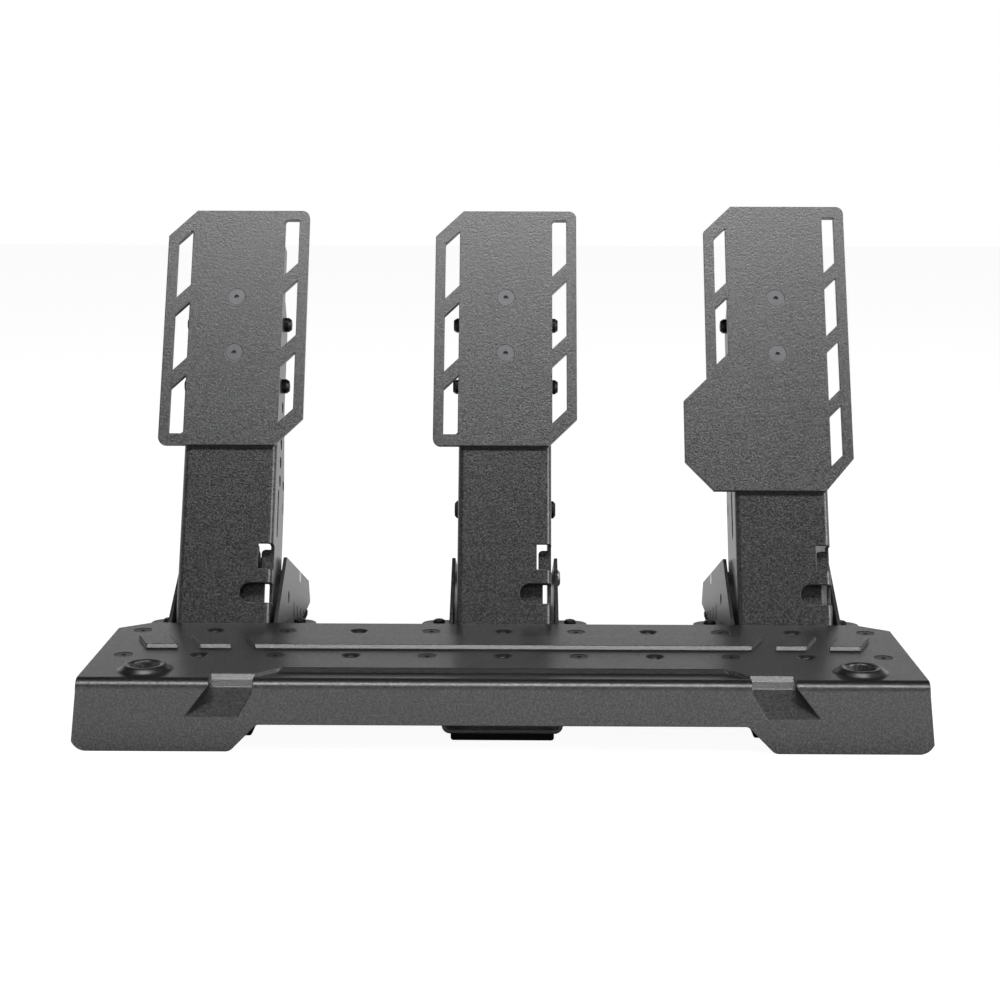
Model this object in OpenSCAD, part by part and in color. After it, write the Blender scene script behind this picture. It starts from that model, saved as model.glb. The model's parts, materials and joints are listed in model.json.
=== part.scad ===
// Three-pedal set for a driving simulator: a bent heel plate carries three
// identical pedal modules, each with a channel base, a leaning arm, a perforated
// foot plate and a return spring on a rod. Millimetres, +Z up, +Y away from the driver.

/* [Heel plate] */
// Width of the heel plate
plate_w = 429; // [424:1:450]
// Depth of the heel plate, front face to rear edge
plate_d = 124; // [122:0.5:130]
// Height of the heel plate's top face above the ground
plate_h = 37; // [36:0.5:40]
// Thickness of the heel plate's sheet
plate_t = 2; // [1.6:0.1:2.4]
// Outer radius of the bend between top and front
plate_bend_r = 6; // [5:0.5:7]
// Rear corner chamfer, measured across the width
plate_corner_x = 16.5; // [10:0.5:20]
// Rear corner chamfer, measured along the depth
plate_corner_y = 13; // [8:0.5:16]
// Height of the arch cut into the front between the feet
arch_h = 14; // [10:0.5:15]
// Half width of the arch at its top
arch_half_w = 123.7; // [118:0.1:128]
// Sideways run of the arch's sloping ends
arch_slope = 13.8; // [8:0.1:16]
// How far each foot spreads outward at the ground
foot_flare = 3.5; // [0:0.5:5]
// Radius of the outer corner of each foot
foot_r = 8; // [4:0.5:10]

/* [Pressed forms] */
// Height of the pressed ribs on the heel plate
rib_h = 2; // [1:0.1:2.4]
// Distance of the ribs behind the front face
rib_y = 64.7; // [62:0.1:67]
// Depth of the ribs along the heel plate
rib_d = 25.9; // [20:0.1:30]
// Half length of the long centre rib along its front
rib_half_w = 132; // [124:1:134]
// Length of each short rib
rib_short_w = 16.6; // [12:0.1:20]
// Outward lean of the rib ends over their depth
rib_lean = 9.6; // [6:0.1:12]
// Depth of the groove behind the front bend
groove_h = 2; // [1:0.1:2.4]
// Distance from the front face to the groove's rear edge
groove_y = 26.5; // [24:0.5:28]
// Half length of the groove along its rear edge
groove_half_w = 113.5; // [108:0.5:116]
// Half width over the inner edges of the two front pockets
pocket_inner_x = 125.5; // [122:0.5:128]
// Width of each front pocket at its top
pocket_w = 22.2; // [18:0.1:26]
// Outward lean of each pocket's outer side, top to bottom
pocket_lean = 12.5; // [8:0.5:14]
// How far each pocket is set back at its top
pocket_d = 13.5; // [10:0.5:15]
// Height of each pocket's lower edge above the ground
pocket_z = 18; // [16:0.5:20]
// Half distance between the two raised ring holes
ring_x = 183; // [178:1:190]
// Distance of the ring holes behind the front face
ring_y = 21; // [20.5:0.5:23]
// Outer diameter of each raised ring
ring_d = 29; // [26:0.5:30]
// Bore of each raised ring
ring_bore_d = 15; // [12:0.5:16]
// Height of each raised ring
ring_h = 3; // [2:0.5:4]

/* [Hole grid] */
// Spacing of the screw holes across the heel plate
hole_pitch = 40; // [39.5:0.1:40.5]
// Distance of the front hole row behind the front face
row_y = 51.3; // [50:0.1:54]
// Distance between the two hole rows
row_gap = 54.4; // [52:0.1:56]
// Thread diameter of the heel plate screws
plate_screw_d = 5; // [4:0.5:5]
// Head diameter of the heel plate screws
plate_screw_head_d = 10; // [9:0.1:10.4]
// Radial clearance round each screw
screw_gap = 0.25; // [0.15:0.05:0.35]

/* [Channels] */
// Gap between each side of an arm and its channel's wall
arm_gap = 2.1; // [1.5:0.1:2.6]
// Sheet thickness of the channels
channel_t = 2; // [1.6:0.1:2.4]
// Outer bend radius along the channel's bottom edges
channel_bend_r = 4.3; // [3:0.1:6]
// Distance of the channel's front end behind the front face
channel_y = 20; // [18:0.5:21]
// Distance of the channel's rear end behind the front face
channel_rear_y = 310; // [304:1:316]
// Gap between the low channel walls and the heel plate
wall_gap = 5; // [4:0.5:6]
// Distance from the front face to the cheek's peak
peak_y = 184.8; // [180:0.1:190]
// Height of the cheek's peak above the ground
peak_z = 62.5; // [58:0.5:66]
// Distance from the front face to the cheek's rear corner
cheek_rear_y = 302; // [298:0.5:303]
// Height of the cheek's rear corner
cheek_rear_z = 23; // [20:0.5:26]
// Thickness of the rubber pads under the channels
pad_t = 4; // [3:0.5:4.5]
// Width of the rubber pads under the outer channels
pad_w = 60.4; // [52:0.1:62]
// Distance from the outer channels' front ends to their front pads
pad_inset = 7; // [2:0.5:12]
// Width of the rubber pads under the middle channel
mid_pad_w = 53.2; // [44:0.1:60]
// Distance from the middle channel's front end to its front pad
mid_pad_inset = 0.5; // [0:0.5:12]
// Length of each front rubber pad
pad_front_l = 40; // [30:1:44]
// Length of each rear rubber pad
pad_rear_l = 32; // [24:1:38]
// Diameter of the rig bolt holes in the channel floors
rig_hole_d = 6.6; // [5.5:0.1:7]
// Distance of the front rig hole behind the front face
rig_y = 78; // [74:1:82]
// Distance between the front and rear rig holes
rig_gap = 136; // [130:1:140]

/* [Ears] */
// Reach of each mounting ear from the module's centre
ear_reach = 48.6; // [48:0.1:52]
// Sheet thickness of the ears
ear_t = 2; // [1.6:0.1:2.4]
// Length of the spacers between ears and heel plate
spacer_l = 10.4; // [9.5:0.1:11]
// Outer diameter of the spacers
spacer_d = 12; // [10:0.5:13]
// Distance of the ears' front end behind the front face
ear_y = 38; // [34:1:42]
// Distance of the ears' rear end behind the front face
ear_rear_y = 186; // [182:1:188]
// Length of the ear's upright leg
ear_leg_l = 104; // [90:1:106]
// Radius of the ear's outer corners
ear_r = 9; // [6:0.5:10]

/* [Arms] */
// Height of the arm's pivot above the ground
pivot_z = 17.5; // [17.2:0.1:18]
// Distance of the arm's pivot behind the front face
pivot_y = 164; // [162:0.5:166]
// Lean of the arm at rest, away from upright
arm_lean = 25.5; // [24.5:0.5:26.5]
// Outer width of the arm
arm_w = 54; // [51:0.1:54.6]
// Sheet thickness of the arm
arm_t = 2; // [1.6:0.1:2.4]
// Outer bend radius of the arm
arm_bend_r = 3.6; // [3:0.1:4]
// Distance from the pivot to the arm's front face
arm_face = 36.2; // [35.5:0.1:37]
// Depth of the arm's side walls at its lower half
arm_d = 44; // [42:0.5:46]
// Depth of the arm's side walls behind the foot plate
arm_top_d = 30.5; // [28:0.5:34]
// Length of the arm above its pivot
arm_l = 235; // [225:1:240]
// Radius of the lug round the pivot
lug_r = 10.4; // [9.5:0.1:10.6]
// Diameter of the height holes in the arm's sides
height_hole_d = 7; // [5:0.5:8]
// Spacing of the height holes
height_pitch = 11.4; // [11:0.1:11.8]
// Number of height holes
height_holes = 5; // [3:1:5]

/* [Foot plates] */
// Width of the clutch and brake foot plates
foot_plate_w = 84; // [82:0.1:88]
// Length of the clutch and brake foot plates
foot_plate_l = 147.4; // [146:0.1:152]
// Thickness of the foot plates
foot_plate_t = 3; // [2.5:0.1:4]
// Chamfer at two opposite corners of each foot plate
foot_plate_cut = 16.5; // [12:0.5:18]
// Radius of the other corners of the foot plates
foot_plate_r = 4.5; // [3:0.5:6]
// Height of the foot plate screws' midpoint along the arm
foot_screw_u = 181.7; // [178:0.1:184]
// Distance between the two foot plate screws
foot_screw_gap = 35; // [34:0.5:36]
// Distance from the centre line to each window's inner edge
window_x = 27.6; // [27:0.1:28]
// Width of the windows in the clutch and brake plates
window_w = 8.4; // [7:0.1:8.6]
// Spacing of the windows in the clutch and brake plates
window_pitch = 45.8; // [45:0.1:46]
// Height of the windows in the clutch and brake plates
window_h = 34.9; // [31:0.1:35.5]
// How much higher the right-hand windows sit
window_lift = 0.9; // [0:0.1:1.2]
// Length of the throttle's foot plate
throttle_plate_l = 177.4; // [176:0.1:181]
// Distance from the centre line to the throttle windows' inner edges
throttle_window_x = 29; // [27.4:0.1:30]
// Width of the throttle's windows
throttle_window_w = 6.9; // [6:0.1:7.6]
// How far the throttle's foot plate reaches below its screws' midpoint
throttle_low = 101.1; // [99:0.1:103]
// Sideways reach of the throttle plate's lower lobe
lobe_w = 13.7; // [9:0.1:15]

/* [Spring rods] */
// Distance of the rod's upper pin above the pivot, along the arm
pin_u = 80; // [79:0.1:81]
// Distance of the rod's upper pin behind the pivot, across the arm
pin_back = 2; // [1:0.1:2.2]
// Distance of the rod's lower pin behind the front face
trunnion_y = 252.3; // [251:0.1:254]
// Height of the rod's lower pin above the ground
trunnion_z = 36; // [35:0.1:37]
// Diameter of the spring rods
rod_d = 8; // [7:0.5:8]
// Diameter of the upper and lower pins
pin_d = 7; // [6:0.5:7]
// Radial clearance of turning pins
running_gap = 0.05; // [0.03:0.01:0.08]
// Mean diameter of the return springs
spring_d = 15; // [14.5:0.1:15.5]
// Wire diameter of the return springs
wire_d = 2.5; // [2:0.1:2.6]
// Number of turns in each return spring
spring_turns = 9; // [7:1:10]
// Number of rubber rings in the brake's stack
ring_count = 4; // [3:1:5]
// Travel of the clutch and throttle arms in degrees
arm_travel = 18; // [14:1:18]

/* [Electronics] */
// Gap between the control box and the ears at each side
box_gap = 3.4; // [2:0.1:6]
// Depth of the control box
box_d = 38; // [34:1:40]
// Height of the control box without its lid
box_h = 22; // [20:0.5:23]
// Wall thickness of the control box
box_t = 2; // [1.5:0.1:2.5]
// Diameter of the pivot magnets
magnet_d = 6; // [5:0.5:6.5]

/* [Hidden] */
$fn = 48;

// Powder coat, plated steel, rubber and plastic colours
coat = [0.17, 0.17, 0.18];
dark_coat = [0.1, 0.1, 0.11];
steel = [0.6, 0.6, 0.62];
black = [0.04, 0.04, 0.04];
rubber = [0.06, 0.06, 0.06];
brass = [0.75, 0.6, 0.3];
board_green = [0.05, 0.3, 0.15];

// Each module's place across the heel plate
module_pitch = 4 * hole_pitch;
clutch_x = -module_pitch;
brake_x = 0;
throttle_x = module_pitch;
module_xs = [clutch_x, brake_x, throttle_x];
hole_columns = [-5:1:5];
row_ys = [row_y, row_y + row_gap];
cut = 1;

// Heights and widths that follow from the stack under the heel plate
floor_z = pad_t + channel_t;
channel_w = arm_w + 2 * (arm_gap + channel_t);
ear_top_z = plate_h - plate_t - spacer_l;
ear_low_z = ear_top_z - ear_t;
low_wall_z = plate_h - plate_t - wall_gap;
channel_in = channel_w / 2 - channel_t;
arm_in = arm_w / 2 - arm_t;
plate_hole_r = plate_screw_d / 2 + screw_gap;
sink_r = plate_screw_head_d / 2 + 0.2;
sink_h = plate_t * 0.7;
foot_sink_h = foot_plate_t * 0.7;
head_drop = 0.15;

// Upper and lower pin places of the spring rods, seen from the side
pin_y = pivot_y + pin_u * sin(arm_lean) + pin_back * cos(arm_lean);
pin_z = pivot_z + pin_u * cos(arm_lean) - pin_back * sin(arm_lean);
rod_turn = atan2(-(trunnion_y - pin_y), trunnion_z - pin_z);
rod_span = norm([trunnion_y - pin_y, trunnion_z - pin_z]);
pin_reach = norm([pin_y - pivot_y, pin_z - pivot_z]);
pin_angle = atan2(pin_y - pivot_y, pin_z - pivot_z);
pressed_y = pivot_y + pin_reach * sin(pin_angle + arm_travel);
pressed_z = pivot_z + pin_reach * cos(pin_angle + arm_travel);
pressed_span = norm([trunnion_y - pressed_y, trunnion_z - pressed_z]);

// Trunnion, collar and stop sizes along the rod
trunnion_half = 5;
trunnion_half_w = 8.5;
trunnion_half_d = 8;
rod_eye_r = 7;
collar_z = 9;
collar_t = 3;
collar_rim = 0.5;
spring_z = collar_z + collar_t;
nut_gap = 0.3;
nut_t = 3.5;
rod_nut_r = 5.8;
pin_head_r = 5.2;
pin_head_t = 1.8;
pin_crown_t = 1.2;
pin_side_gap = 0.3;
rod_hole_gap = 0.8;
load_cell_t = 9;
load_cell_r = 9;
load_rim_r = 11;
load_rim_gap = 2.5;
stack_ring_r = 10;
stack_washer_r = 11;
stack_gap = 0.3;
washer_gap = 0.2;
sleeve_gap = 0.05;
spring_end = rod_span - trunnion_half - 0.2;
coil_seat = wire_d / 2 * sin(60);
sleeve_end = pressed_span - trunnion_half - 0.5;

// Foot plate place on the arm
bracket_t = 2.5;
bracket_d = 24;
bracket_low = 31.7;
bracket_h = 69;
bolt_u = [foot_screw_u - bracket_low, foot_screw_u + 7.3];
bolt_y = 19.2;
bolt_d = 5;
side_head_d = 8.6;
side_head_h = 4.2;
foot_hole_r = bolt_d / 2 + screw_gap;
foot_head_r = 5.3;

// Moves a shape from the front face's frame to the part's own frame
module from_front() {
    translate([0, -channel_rear_y / 2, 0]) children();
}

// Frame of an arm: Z along the arm from its pivot, -Y towards the driver
module arm_frame(x) {
    from_front() translate([x, pivot_y, pivot_z]) rotate([-arm_lean, 0, 0]) children();
}

// Frame of a spring rod: Z along the rod from its upper pin to its lower end
module rod_frame(x) {
    from_front() translate([x, pin_y, pin_z]) rotate([rod_turn, 0, 0]) children();
}

// Frame of a trunnion, Z along the rod
module trunnion_frame(x) {
    from_front() translate([x, trunnion_y, trunnion_z]) rotate([rod_turn, 0, 0]) children();
}

// Extrudes a side view drawn in depth and height across the width
module across(w) {
    translate([-w / 2, 0, 0]) rotate([90, 0, 90]) linear_extrude(w) children();
}

// Extrudes a front view drawn in width and height along the depth
module along(y0, y1) {
    translate([0, y1, 0]) rotate([90, 0, 0]) linear_extrude(y1 - y0) children();
}

// Cylinder along X from x0 to x1
module x_rod(x0, x1, r) {
    translate([x0, 0, 0]) rotate([0, 90, 0]) cylinder(h = x1 - x0, r = r);
}

// Rectangle with its two lower corners rounded, centred on X
module round_low(w, h, r) {
    translate([-w / 2 + r, 0]) square([w - 2 * r, r + cut / 2]);
    translate([-w / 2, r]) square([w, h - r]);
    for (s = [-1, 1])
        translate([s * (w / 2 - r), r]) circle(r);
}

// U-shaped sheet section, web at the bottom
module u_section(w, h, t, r) {
    difference() {
        round_low(w, h, r);
        translate([0, t]) round_low(w - 2 * t, h, max(r - t, 0.3));
    }
}

// What is cut away to round one square corner, placed at the corner
module corner_cut(r) {
    difference() {
        translate([-r, -r]) square([r + cut, r + cut]);
        translate([-r, -r]) circle(r);
    }
}

// Cone cut for a countersunk head, its wide end at Z = 0
module sink(hole_r, head_r, h) {
    translate([0, 0, -h]) cylinder(h = h, r1 = hole_r, r2 = head_r);
}

// Countersunk screw seated in a sink of the same cone, head just below Z = 0
module sunk_screw(d, hole_r, head_r, h, l) {
    low = head_r - (head_r - hole_r) * head_drop / h;
    difference() {
        union() {
            translate([0, 0, -h]) cylinder(h = h - head_drop, r1 = hole_r, r2 = low);
            translate([0, 0, -l]) cylinder(h = l - h / 2, r = d / 2);
        }
        translate([0, 0, -h * 0.75]) cylinder(h = h, r = d * 0.3, $fn = 6);
    }
}

// Button-headed bolt along +X, head outward, seat at X = 0
module button_bolt(d, head_d, head_h, l) {
    difference() {
        union() {
            x_rod(-l, 0.5, d / 2);
            x_rod(0, head_h * 0.6, head_d / 2);
            translate([head_h * 0.6, 0, 0]) rotate([0, 90, 0])
                cylinder(h = head_h * 0.4, r1 = head_d / 2, r2 = head_d * 0.36);
        }
        translate([head_h * 0.3, 0, 0]) rotate([0, 90, 0]) cylinder(h = head_h, r = d * 0.3, $fn = 6);
    }
}

// Side view of the bent heel plate
module plate_side_view() {
    r = plate_bend_r;
    difference() {
        union() {
            translate([r, plate_h - r]) circle(r);
            square([plate_t, plate_h - r]);
            translate([r, plate_h - plate_t]) square([plate_d - r, plate_t]);
        }
        translate([r, plate_h - r]) circle(r - plate_t);
        translate([r, plate_h - 3 * r]) square([2 * r, 3 * r - plate_t]);
        translate([plate_t, plate_h - 3 * r]) square([r, 2 * r]);
    }
}

function unit(v) = v / norm(v);

// Arc of radius r that rounds the corner p between the directions a and b
function bow(p, a, b, r) =
    let(half = acos(a * b) / 2, c = p + unit(a + b) * r / sin(half), u = p + a * r / tan(half) - c,
        turn = (a[0] * b[1] - a[1] * b[0] > 0 ? -1 : 1) * (180 - 2 * half))
        [for (i = [0:5]) c + [u[0] * cos(i * turn / 5) - u[1] * sin(i * turn / 5),
            u[0] * sin(i * turn / 5) + u[1] * cos(i * turn / 5)]];

// Rounded end of the arch on the side s, from the ground up
foot_in_r = 5;
arch_r = 3;
function arch_side(s) =
    let(rise = unit([arch_slope, arch_h]), points = concat(
        bow([-arch_half_w - arch_slope, 0], [-1, 0], rise, foot_in_r),
        bow([-arch_half_w, arch_h], -rise, [1, 0], arch_r)))
        [for (p = points) [-s * p[0], p[1]]];

// Front view of the heel plate: feet, arch and rounded corners
module plate_front_view() {
    half = plate_w / 2;
    difference() {
        polygon([[-half, plate_h + ring_h + cut], [-half, plate_h - plate_bend_r], [-half - foot_flare, 0],
            [half + foot_flare, 0], [half, plate_h - plate_bend_r], [half, plate_h + ring_h + cut]]);
        polygon(concat([[-2 * half, -cut]], arch_side(-1), [for (i = [11:-1:0]) arch_side(1)[i]],
            [[2 * half, -cut]]));
        for (s = [-1, 1])
            mirror([s < 0 ? 1 : 0, 0]) translate([half + foot_flare, 0]) mirror([0, 1]) corner_cut(foot_r);
    }
}

// Plan view of the heel plate with its cut rear corners
module plate_plan() {
    half = plate_w / 2 + foot_flare;
    rear = plate_w / 2 - plate_corner_x;
    polygon([[-half, -cut], [half, -cut], [half, plate_bend_r], [plate_w / 2, plate_bend_r],
        [plate_w / 2, plate_d - plate_corner_y], [rear, plate_d], [-rear, plate_d],
        [-plate_w / 2, plate_d - plate_corner_y], [-plate_w / 2, plate_bend_r], [-half, plate_bend_r]]);
}

// Depth of the groove's gentle rear wall for each millimetre of height
groove_run = 1.5;

// Starts of the short ribs beside the long one
rib_gap = 12.7;
rib_step = 28.7;

// Plan view of all the pressed ribs, drawn in by a wall at their ends
module rib_plan(wall) {
    rear = rib_y + rib_d;
    long = rib_half_w - wall;
    polygon([[-long, rib_y], [long, rib_y], [long + rib_lean, rear], [-long - rib_lean, rear]]);
    for (s = [-1, 1], x = [rib_half_w + rib_gap, rib_half_w + rib_gap + rib_step])
        polygon([[s * (x + wall), rib_y], [s * (x + rib_short_w - wall), rib_y],
            [s * (x + rib_short_w + rib_lean - wall), rear], [s * (x + rib_lean + wall), rear]]);
}

// Pressed ribs, their top lowered and their ends drawn in by a wall
module ribs(wall) {
    z = plate_h - plate_t / 2 - wall;
    rise = rib_h + plate_t / 2;
    rear = rib_y + rib_d;
    intersection() {
        across(plate_w)
            polygon([[rib_y, z], [rib_y + rise, z + rise], [rear - rise, z + rise], [rear, z]]);
        translate([0, 0, plate_h - 2 * plate_t]) linear_extrude(rib_h + 2 * plate_t) rib_plan(wall);
    }
}

// Groove behind the front bend, grown by a wall where it is backed
module groove(wall) {
    near = plate_bend_r + 1.5;
    z = plate_h - groove_h - wall;
    top = wall > 0 ? plate_h - wall / 4 : plate_h + cut;
    intersection() {
        across(2 * pocket_inner_x + 2 * wall)
            polygon([[near - wall, plate_h - wall / 2], [near + groove_h - wall, z],
                [groove_y - groove_h * groove_run + wall, z], [groove_y + wall, plate_h - wall / 2],
                [groove_y + wall, top], [near - wall, top]]);
        linear_extrude(plate_h + 2 * cut)
            polygon([[-groove_half_w - wall, groove_y + wall], [groove_half_w + wall, groove_y + wall],
                [pocket_inner_x + wall, pocket_d + wall], [pocket_inner_x + wall, 0],
                [-pocket_inner_x - wall, 0], [-pocket_inner_x - wall, pocket_d + wall]]);
    }
}

// Face of a front pocket seen from the side, top to bottom
function pocket_line(wall) = [[pocket_d + wall, plate_h - wall / 2],
    [pocket_d - 2 + wall, plate_h - 2.5 - wall / 2], [pocket_d - 5.5 + wall, plate_h - 5.5 - wall / 2],
    [wall, pocket_z - wall / 2]];

// Rest of a pocket's side view: open at the front, or along the middle of the sheet where it is backed
function pocket_rest(wall) = wall == 0
    ? [[-cut, pocket_z], [-cut, plate_h + cut], [pocket_d, plate_h + cut]]
    : let(r = plate_bend_r, mid = plate_bend_r - wall / 2)
        [[wall / 2, pocket_z - wall], [wall / 2, plate_h - r],
            [r - mid * cos(45), plate_h - r + mid * sin(45)], [r, plate_h - wall / 2]];

// Pocket pressed into the front on the side s, grown by a wall where it is backed
module pocket(s, wall) {
    outer = pocket_inner_x + pocket_w + wall;
    inner = pocket_inner_x - wall;
    intersection() {
        across(plate_w) polygon(concat(pocket_line(wall), pocket_rest(wall)));
        along(-cut, groove_y)
            polygon([[s * inner, plate_h + cut], [s * outer, plate_h + cut], [s * outer, plate_h - 3],
                [s * (outer + pocket_lean), pocket_z - wall], [s * (inner + 7.5), pocket_z - wall],
                [s * inner, plate_h - 6]]);
    }
}

// Raised ring round a hole of the heel plate, with a soft outer slope and a rounded lip
lip_w = 2.2;
lip_drop = 1;

module ring_form() {
    bore = ring_bore_d / 2;
    run = ring_d / 2 - bore - lip_w;
    rotate_extrude()
        polygon(concat([[bore - 1, plate_h - plate_t], [ring_d / 2, plate_h - plate_t]],
            [for (i = [0:6]) [ring_d / 2 - run * i / 6, plate_h + ring_h * (1 - cos(30 * i)) / 2]],
            [for (i = [1:3])
                [bore + lip_w * (1 - sin(30 * i)), plate_h + ring_h - lip_drop * (1 - cos(30 * i))]],
            [[bore - 1, plate_h + ring_h - lip_drop]]));
}

module heel_plate() {
    color(coat) from_front() difference() {
        union() {
            intersection() {
                union() {
                    across(plate_w + 2 * foot_flare) plate_side_view();
                    for (s = [-1, 1]) {
                        pocket(s, plate_t);
                    }
                    groove(plate_t);
                }
                along(-cut, plate_d + cut) plate_front_view();
                translate([0, 0, -cut]) linear_extrude(plate_h + ring_h + 2 * cut) plate_plan();
            }
            ribs(0);
            for (s = [-1, 1])
                translate([s * ring_x, ring_y, 0]) ring_form();
        }
        ribs(plate_t);
        groove(0);
        for (s = [-1, 1]) {
            pocket(s, 0);
            translate([s * ring_x, ring_y, 0]) cylinder(h = plate_h + ring_h + cut, r = ring_bore_d / 2);
        }
        for (i = hole_columns, y = row_ys)
            translate([i * hole_pitch, y, 0]) {
                translate([0, 0, plate_h - plate_t - cut]) cylinder(h = plate_t + 2 * cut, r = plate_hole_r);
                translate([0, 0, plate_h]) sink(plate_hole_r, sink_r, sink_h);
            }
    }
}

// Places its children at every screw between the heel plate and the ears
module at_plate_screws() {
    from_front() for (x = module_xs, s = [-1, 1], y = row_ys)
        translate([x + s * hole_pitch, y, 0]) children();
}

module heel_plate_screws() {
    color(black) at_plate_screws() translate([0, 0, plate_h])
        sunk_screw(plate_screw_d, plate_hole_r, sink_r, sink_h, plate_h - ear_low_z + plate_nut_h + 1);
}

// Hexagon nut hanging from Z = 0
module nut(d, across_r, h) {
    translate([0, 0, -h]) difference() {
        cylinder(h = h, r = across_r, $fn = 6);
        translate([0, 0, -cut]) cylinder(h = h + 2 * cut, r = d / 2);
    }
}

plate_nut_h = 4;

module heel_plate_nuts() {
    color(steel) at_plate_screws() translate([0, 0, ear_low_z]) nut(plate_screw_d, 4.6, plate_nut_h);
}

module plate_spacers() {
    color(black) at_plate_screws() translate([0, 0, ear_top_z]) difference() {
        cylinder(h = spacer_l, r = spacer_d / 2);
        translate([0, 0, -cut]) cylinder(h = spacer_l + 2 * cut, r = plate_hole_r);
    }
}

// Heights of the rivets that hold the ears to the channels
rivet_z = (floor_z + ear_low_z) / 2;
rivet_ys = [ear_y + 9, ear_y + ear_leg_l - 9];
rivet_d = 4.8;

module mounting_ears() {
    flange_w = ear_reach - channel_w / 2;
    color(coat) from_front() for (x = module_xs, s = [-1, 1])
        translate([x, 0, 0]) mirror([s < 0 ? 1 : 0, 0, 0]) difference() {
            union() {
                translate([channel_w / 2, ear_y, ear_low_z]) linear_extrude(ear_t) difference() {
                    square([flange_w, ear_rear_y - ear_y]);
                    translate([flange_w, ear_rear_y - ear_y]) corner_cut(ear_r);
                    translate([flange_w, 0]) mirror([0, 1]) corner_cut(ear_r);
                }
                translate([channel_w / 2, ear_y, floor_z + 2])
                    cube([ear_t, ear_leg_l, ear_low_z - floor_z - 1]);
            }
            for (y = row_ys)
                translate([hole_pitch, y, ear_low_z - cut]) cylinder(h = ear_t + 2 * cut, r = plate_hole_r);
            for (at = [[ear_screw_x, ear_screw_y], [lug_screw_x, box_y]])
                translate([at[0], at[1], ear_low_z - cut]) cylinder(h = ear_t + 2 * cut, r = ear_hole_r);
            for (y = rivet_ys)
                translate([channel_w / 2, y, rivet_z]) x_rod(-cut, ear_t + cut, rivet_d / 2);
        }
}

module ear_rivets() {
    color(black) from_front() for (x = module_xs, s = [-1, 1], y = rivet_ys)
        translate([x, y, rivet_z]) mirror([s < 0 ? 1 : 0, 0, 0]) {
            x_rod(channel_in, channel_w / 2 + ear_t, rivet_d / 2);
            x_rod(channel_w / 2 + ear_t, channel_w / 2 + ear_t + 1.4, rivet_d * 0.85);
            x_rod(channel_in - 1.2, channel_in, rivet_d * 0.75);
        }
}

// Screws at the rear of the ears and through the control box's lugs
ear_screw_x = 38.7;
ear_screw_y = ear_rear_y - 6.5;
ear_screw_d = 4;
ear_screw_l = 9;
ear_hole_r = ear_screw_d / 2 + 0.1;
ear_nut_h = 3;
lug_screw_x = ear_reach - 3.8;

// Places its children on every ear screw, at the face the head seats on
module at_ear_screws(lugs) {
    from_front() for (s = [-1, 1]) {
        for (x = module_xs)
            translate([x + s * ear_screw_x, ear_screw_y, ear_top_z]) children();
        if (lugs)
            translate([box_x + s * (module_pitch / 2 - lug_screw_x), box_y, ear_top_z + lug_t]) children();
    }
}

module ear_screws() {
    color(black) at_ear_screws(true) rotate([0, -90, 0]) button_bolt(ear_screw_d, 7, 1.9, ear_screw_l);
}

// Nuts under the ears where no housing takes the screw
module ear_nuts() {
    color(steel) from_front() {
        for (x = module_xs)
            translate([x - ear_screw_x, ear_screw_y, ear_low_z]) nut(ear_screw_d, 3.7, ear_nut_h);
        for (s = [-1, 1])
            translate([box_x + s * (module_pitch / 2 - lug_screw_x), box_y, ear_low_z])
                nut(ear_screw_d, 3.7, ear_nut_h);
    }
}

module foot_pads() {
    color(rubber) from_front() for (x = module_xs) {
        w = x == brake_x ? mid_pad_w : pad_w;
        inset = x == brake_x ? mid_pad_inset : pad_inset;
        translate([x - w / 2, channel_y + inset, 0]) cube([w, pad_front_l, pad_t]);
        translate([x - w / 2, channel_rear_y - 9 - pad_rear_l, 0]) cube([w, pad_rear_l, pad_t]);
    }
}

// Pivot bush and sensor sizes
shaft_r = 5;
shaft_end_r = 3.5;
bush_r = 6.5;
bush_flange_r = 9;
bush_play = 0.3;
shaft_out = 3.6;
magnet_t = 2.5;
housing_in_d = 21;
housing_end_t = 2.5;
housing_side_t = 1.5;
housing_top_t = 1.2;
housing_floor_t = 1.6;
housing_front = pivot_y - housing_in_d / 2 - housing_end_t;
housing_rear = ear_screw_y + 5;
housing_w = 15;
housing_low = pivot_z - 10;
housing_floor = housing_low + housing_floor_t;
housing_in_h = ear_low_z - housing_top_t - housing_floor;
board_t = 1.6;
board_gap = 1.5;

module pivot_bushes() {
    color(brass) from_front() for (x = module_xs, s = [-1, 1])
        translate([x, pivot_y, pivot_z]) mirror([s < 0 ? 1 : 0, 0, 0]) difference() {
            union() {
                x_rod(channel_in, channel_w / 2, bush_r);
                x_rod(arm_w / 2 + bush_play, channel_in, bush_flange_r);
            }
            x_rod(arm_w / 2 - cut, channel_w / 2 + cut, shaft_end_r + running_gap);
        }
}

module sensor_housings() {
    color(black) from_front() for (x = module_xs) translate([x + channel_w / 2, 0, 0]) difference() {
        translate([0, housing_front, housing_low])
            cube([housing_w, housing_rear - housing_front, ear_low_z - housing_low]);
        translate([-cut, pivot_y - housing_in_d / 2, housing_floor])
            cube([housing_w - housing_side_t + cut, housing_in_d, housing_in_h]);
        translate([ear_screw_x - channel_w / 2, ear_screw_y, ear_top_z - ear_screw_l - 0.5])
            cylinder(h = ear_screw_l, r = ear_screw_d / 2);
    }
}

module sensor_boards() {
    board_x = channel_w / 2 + shaft_out + magnet_t + board_gap;
    color(board_green) from_front() for (x = module_xs)
        translate([x + board_x, pivot_y - housing_in_d / 2, housing_floor])
            cube([board_t, housing_in_d, housing_in_h]);
}

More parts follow.
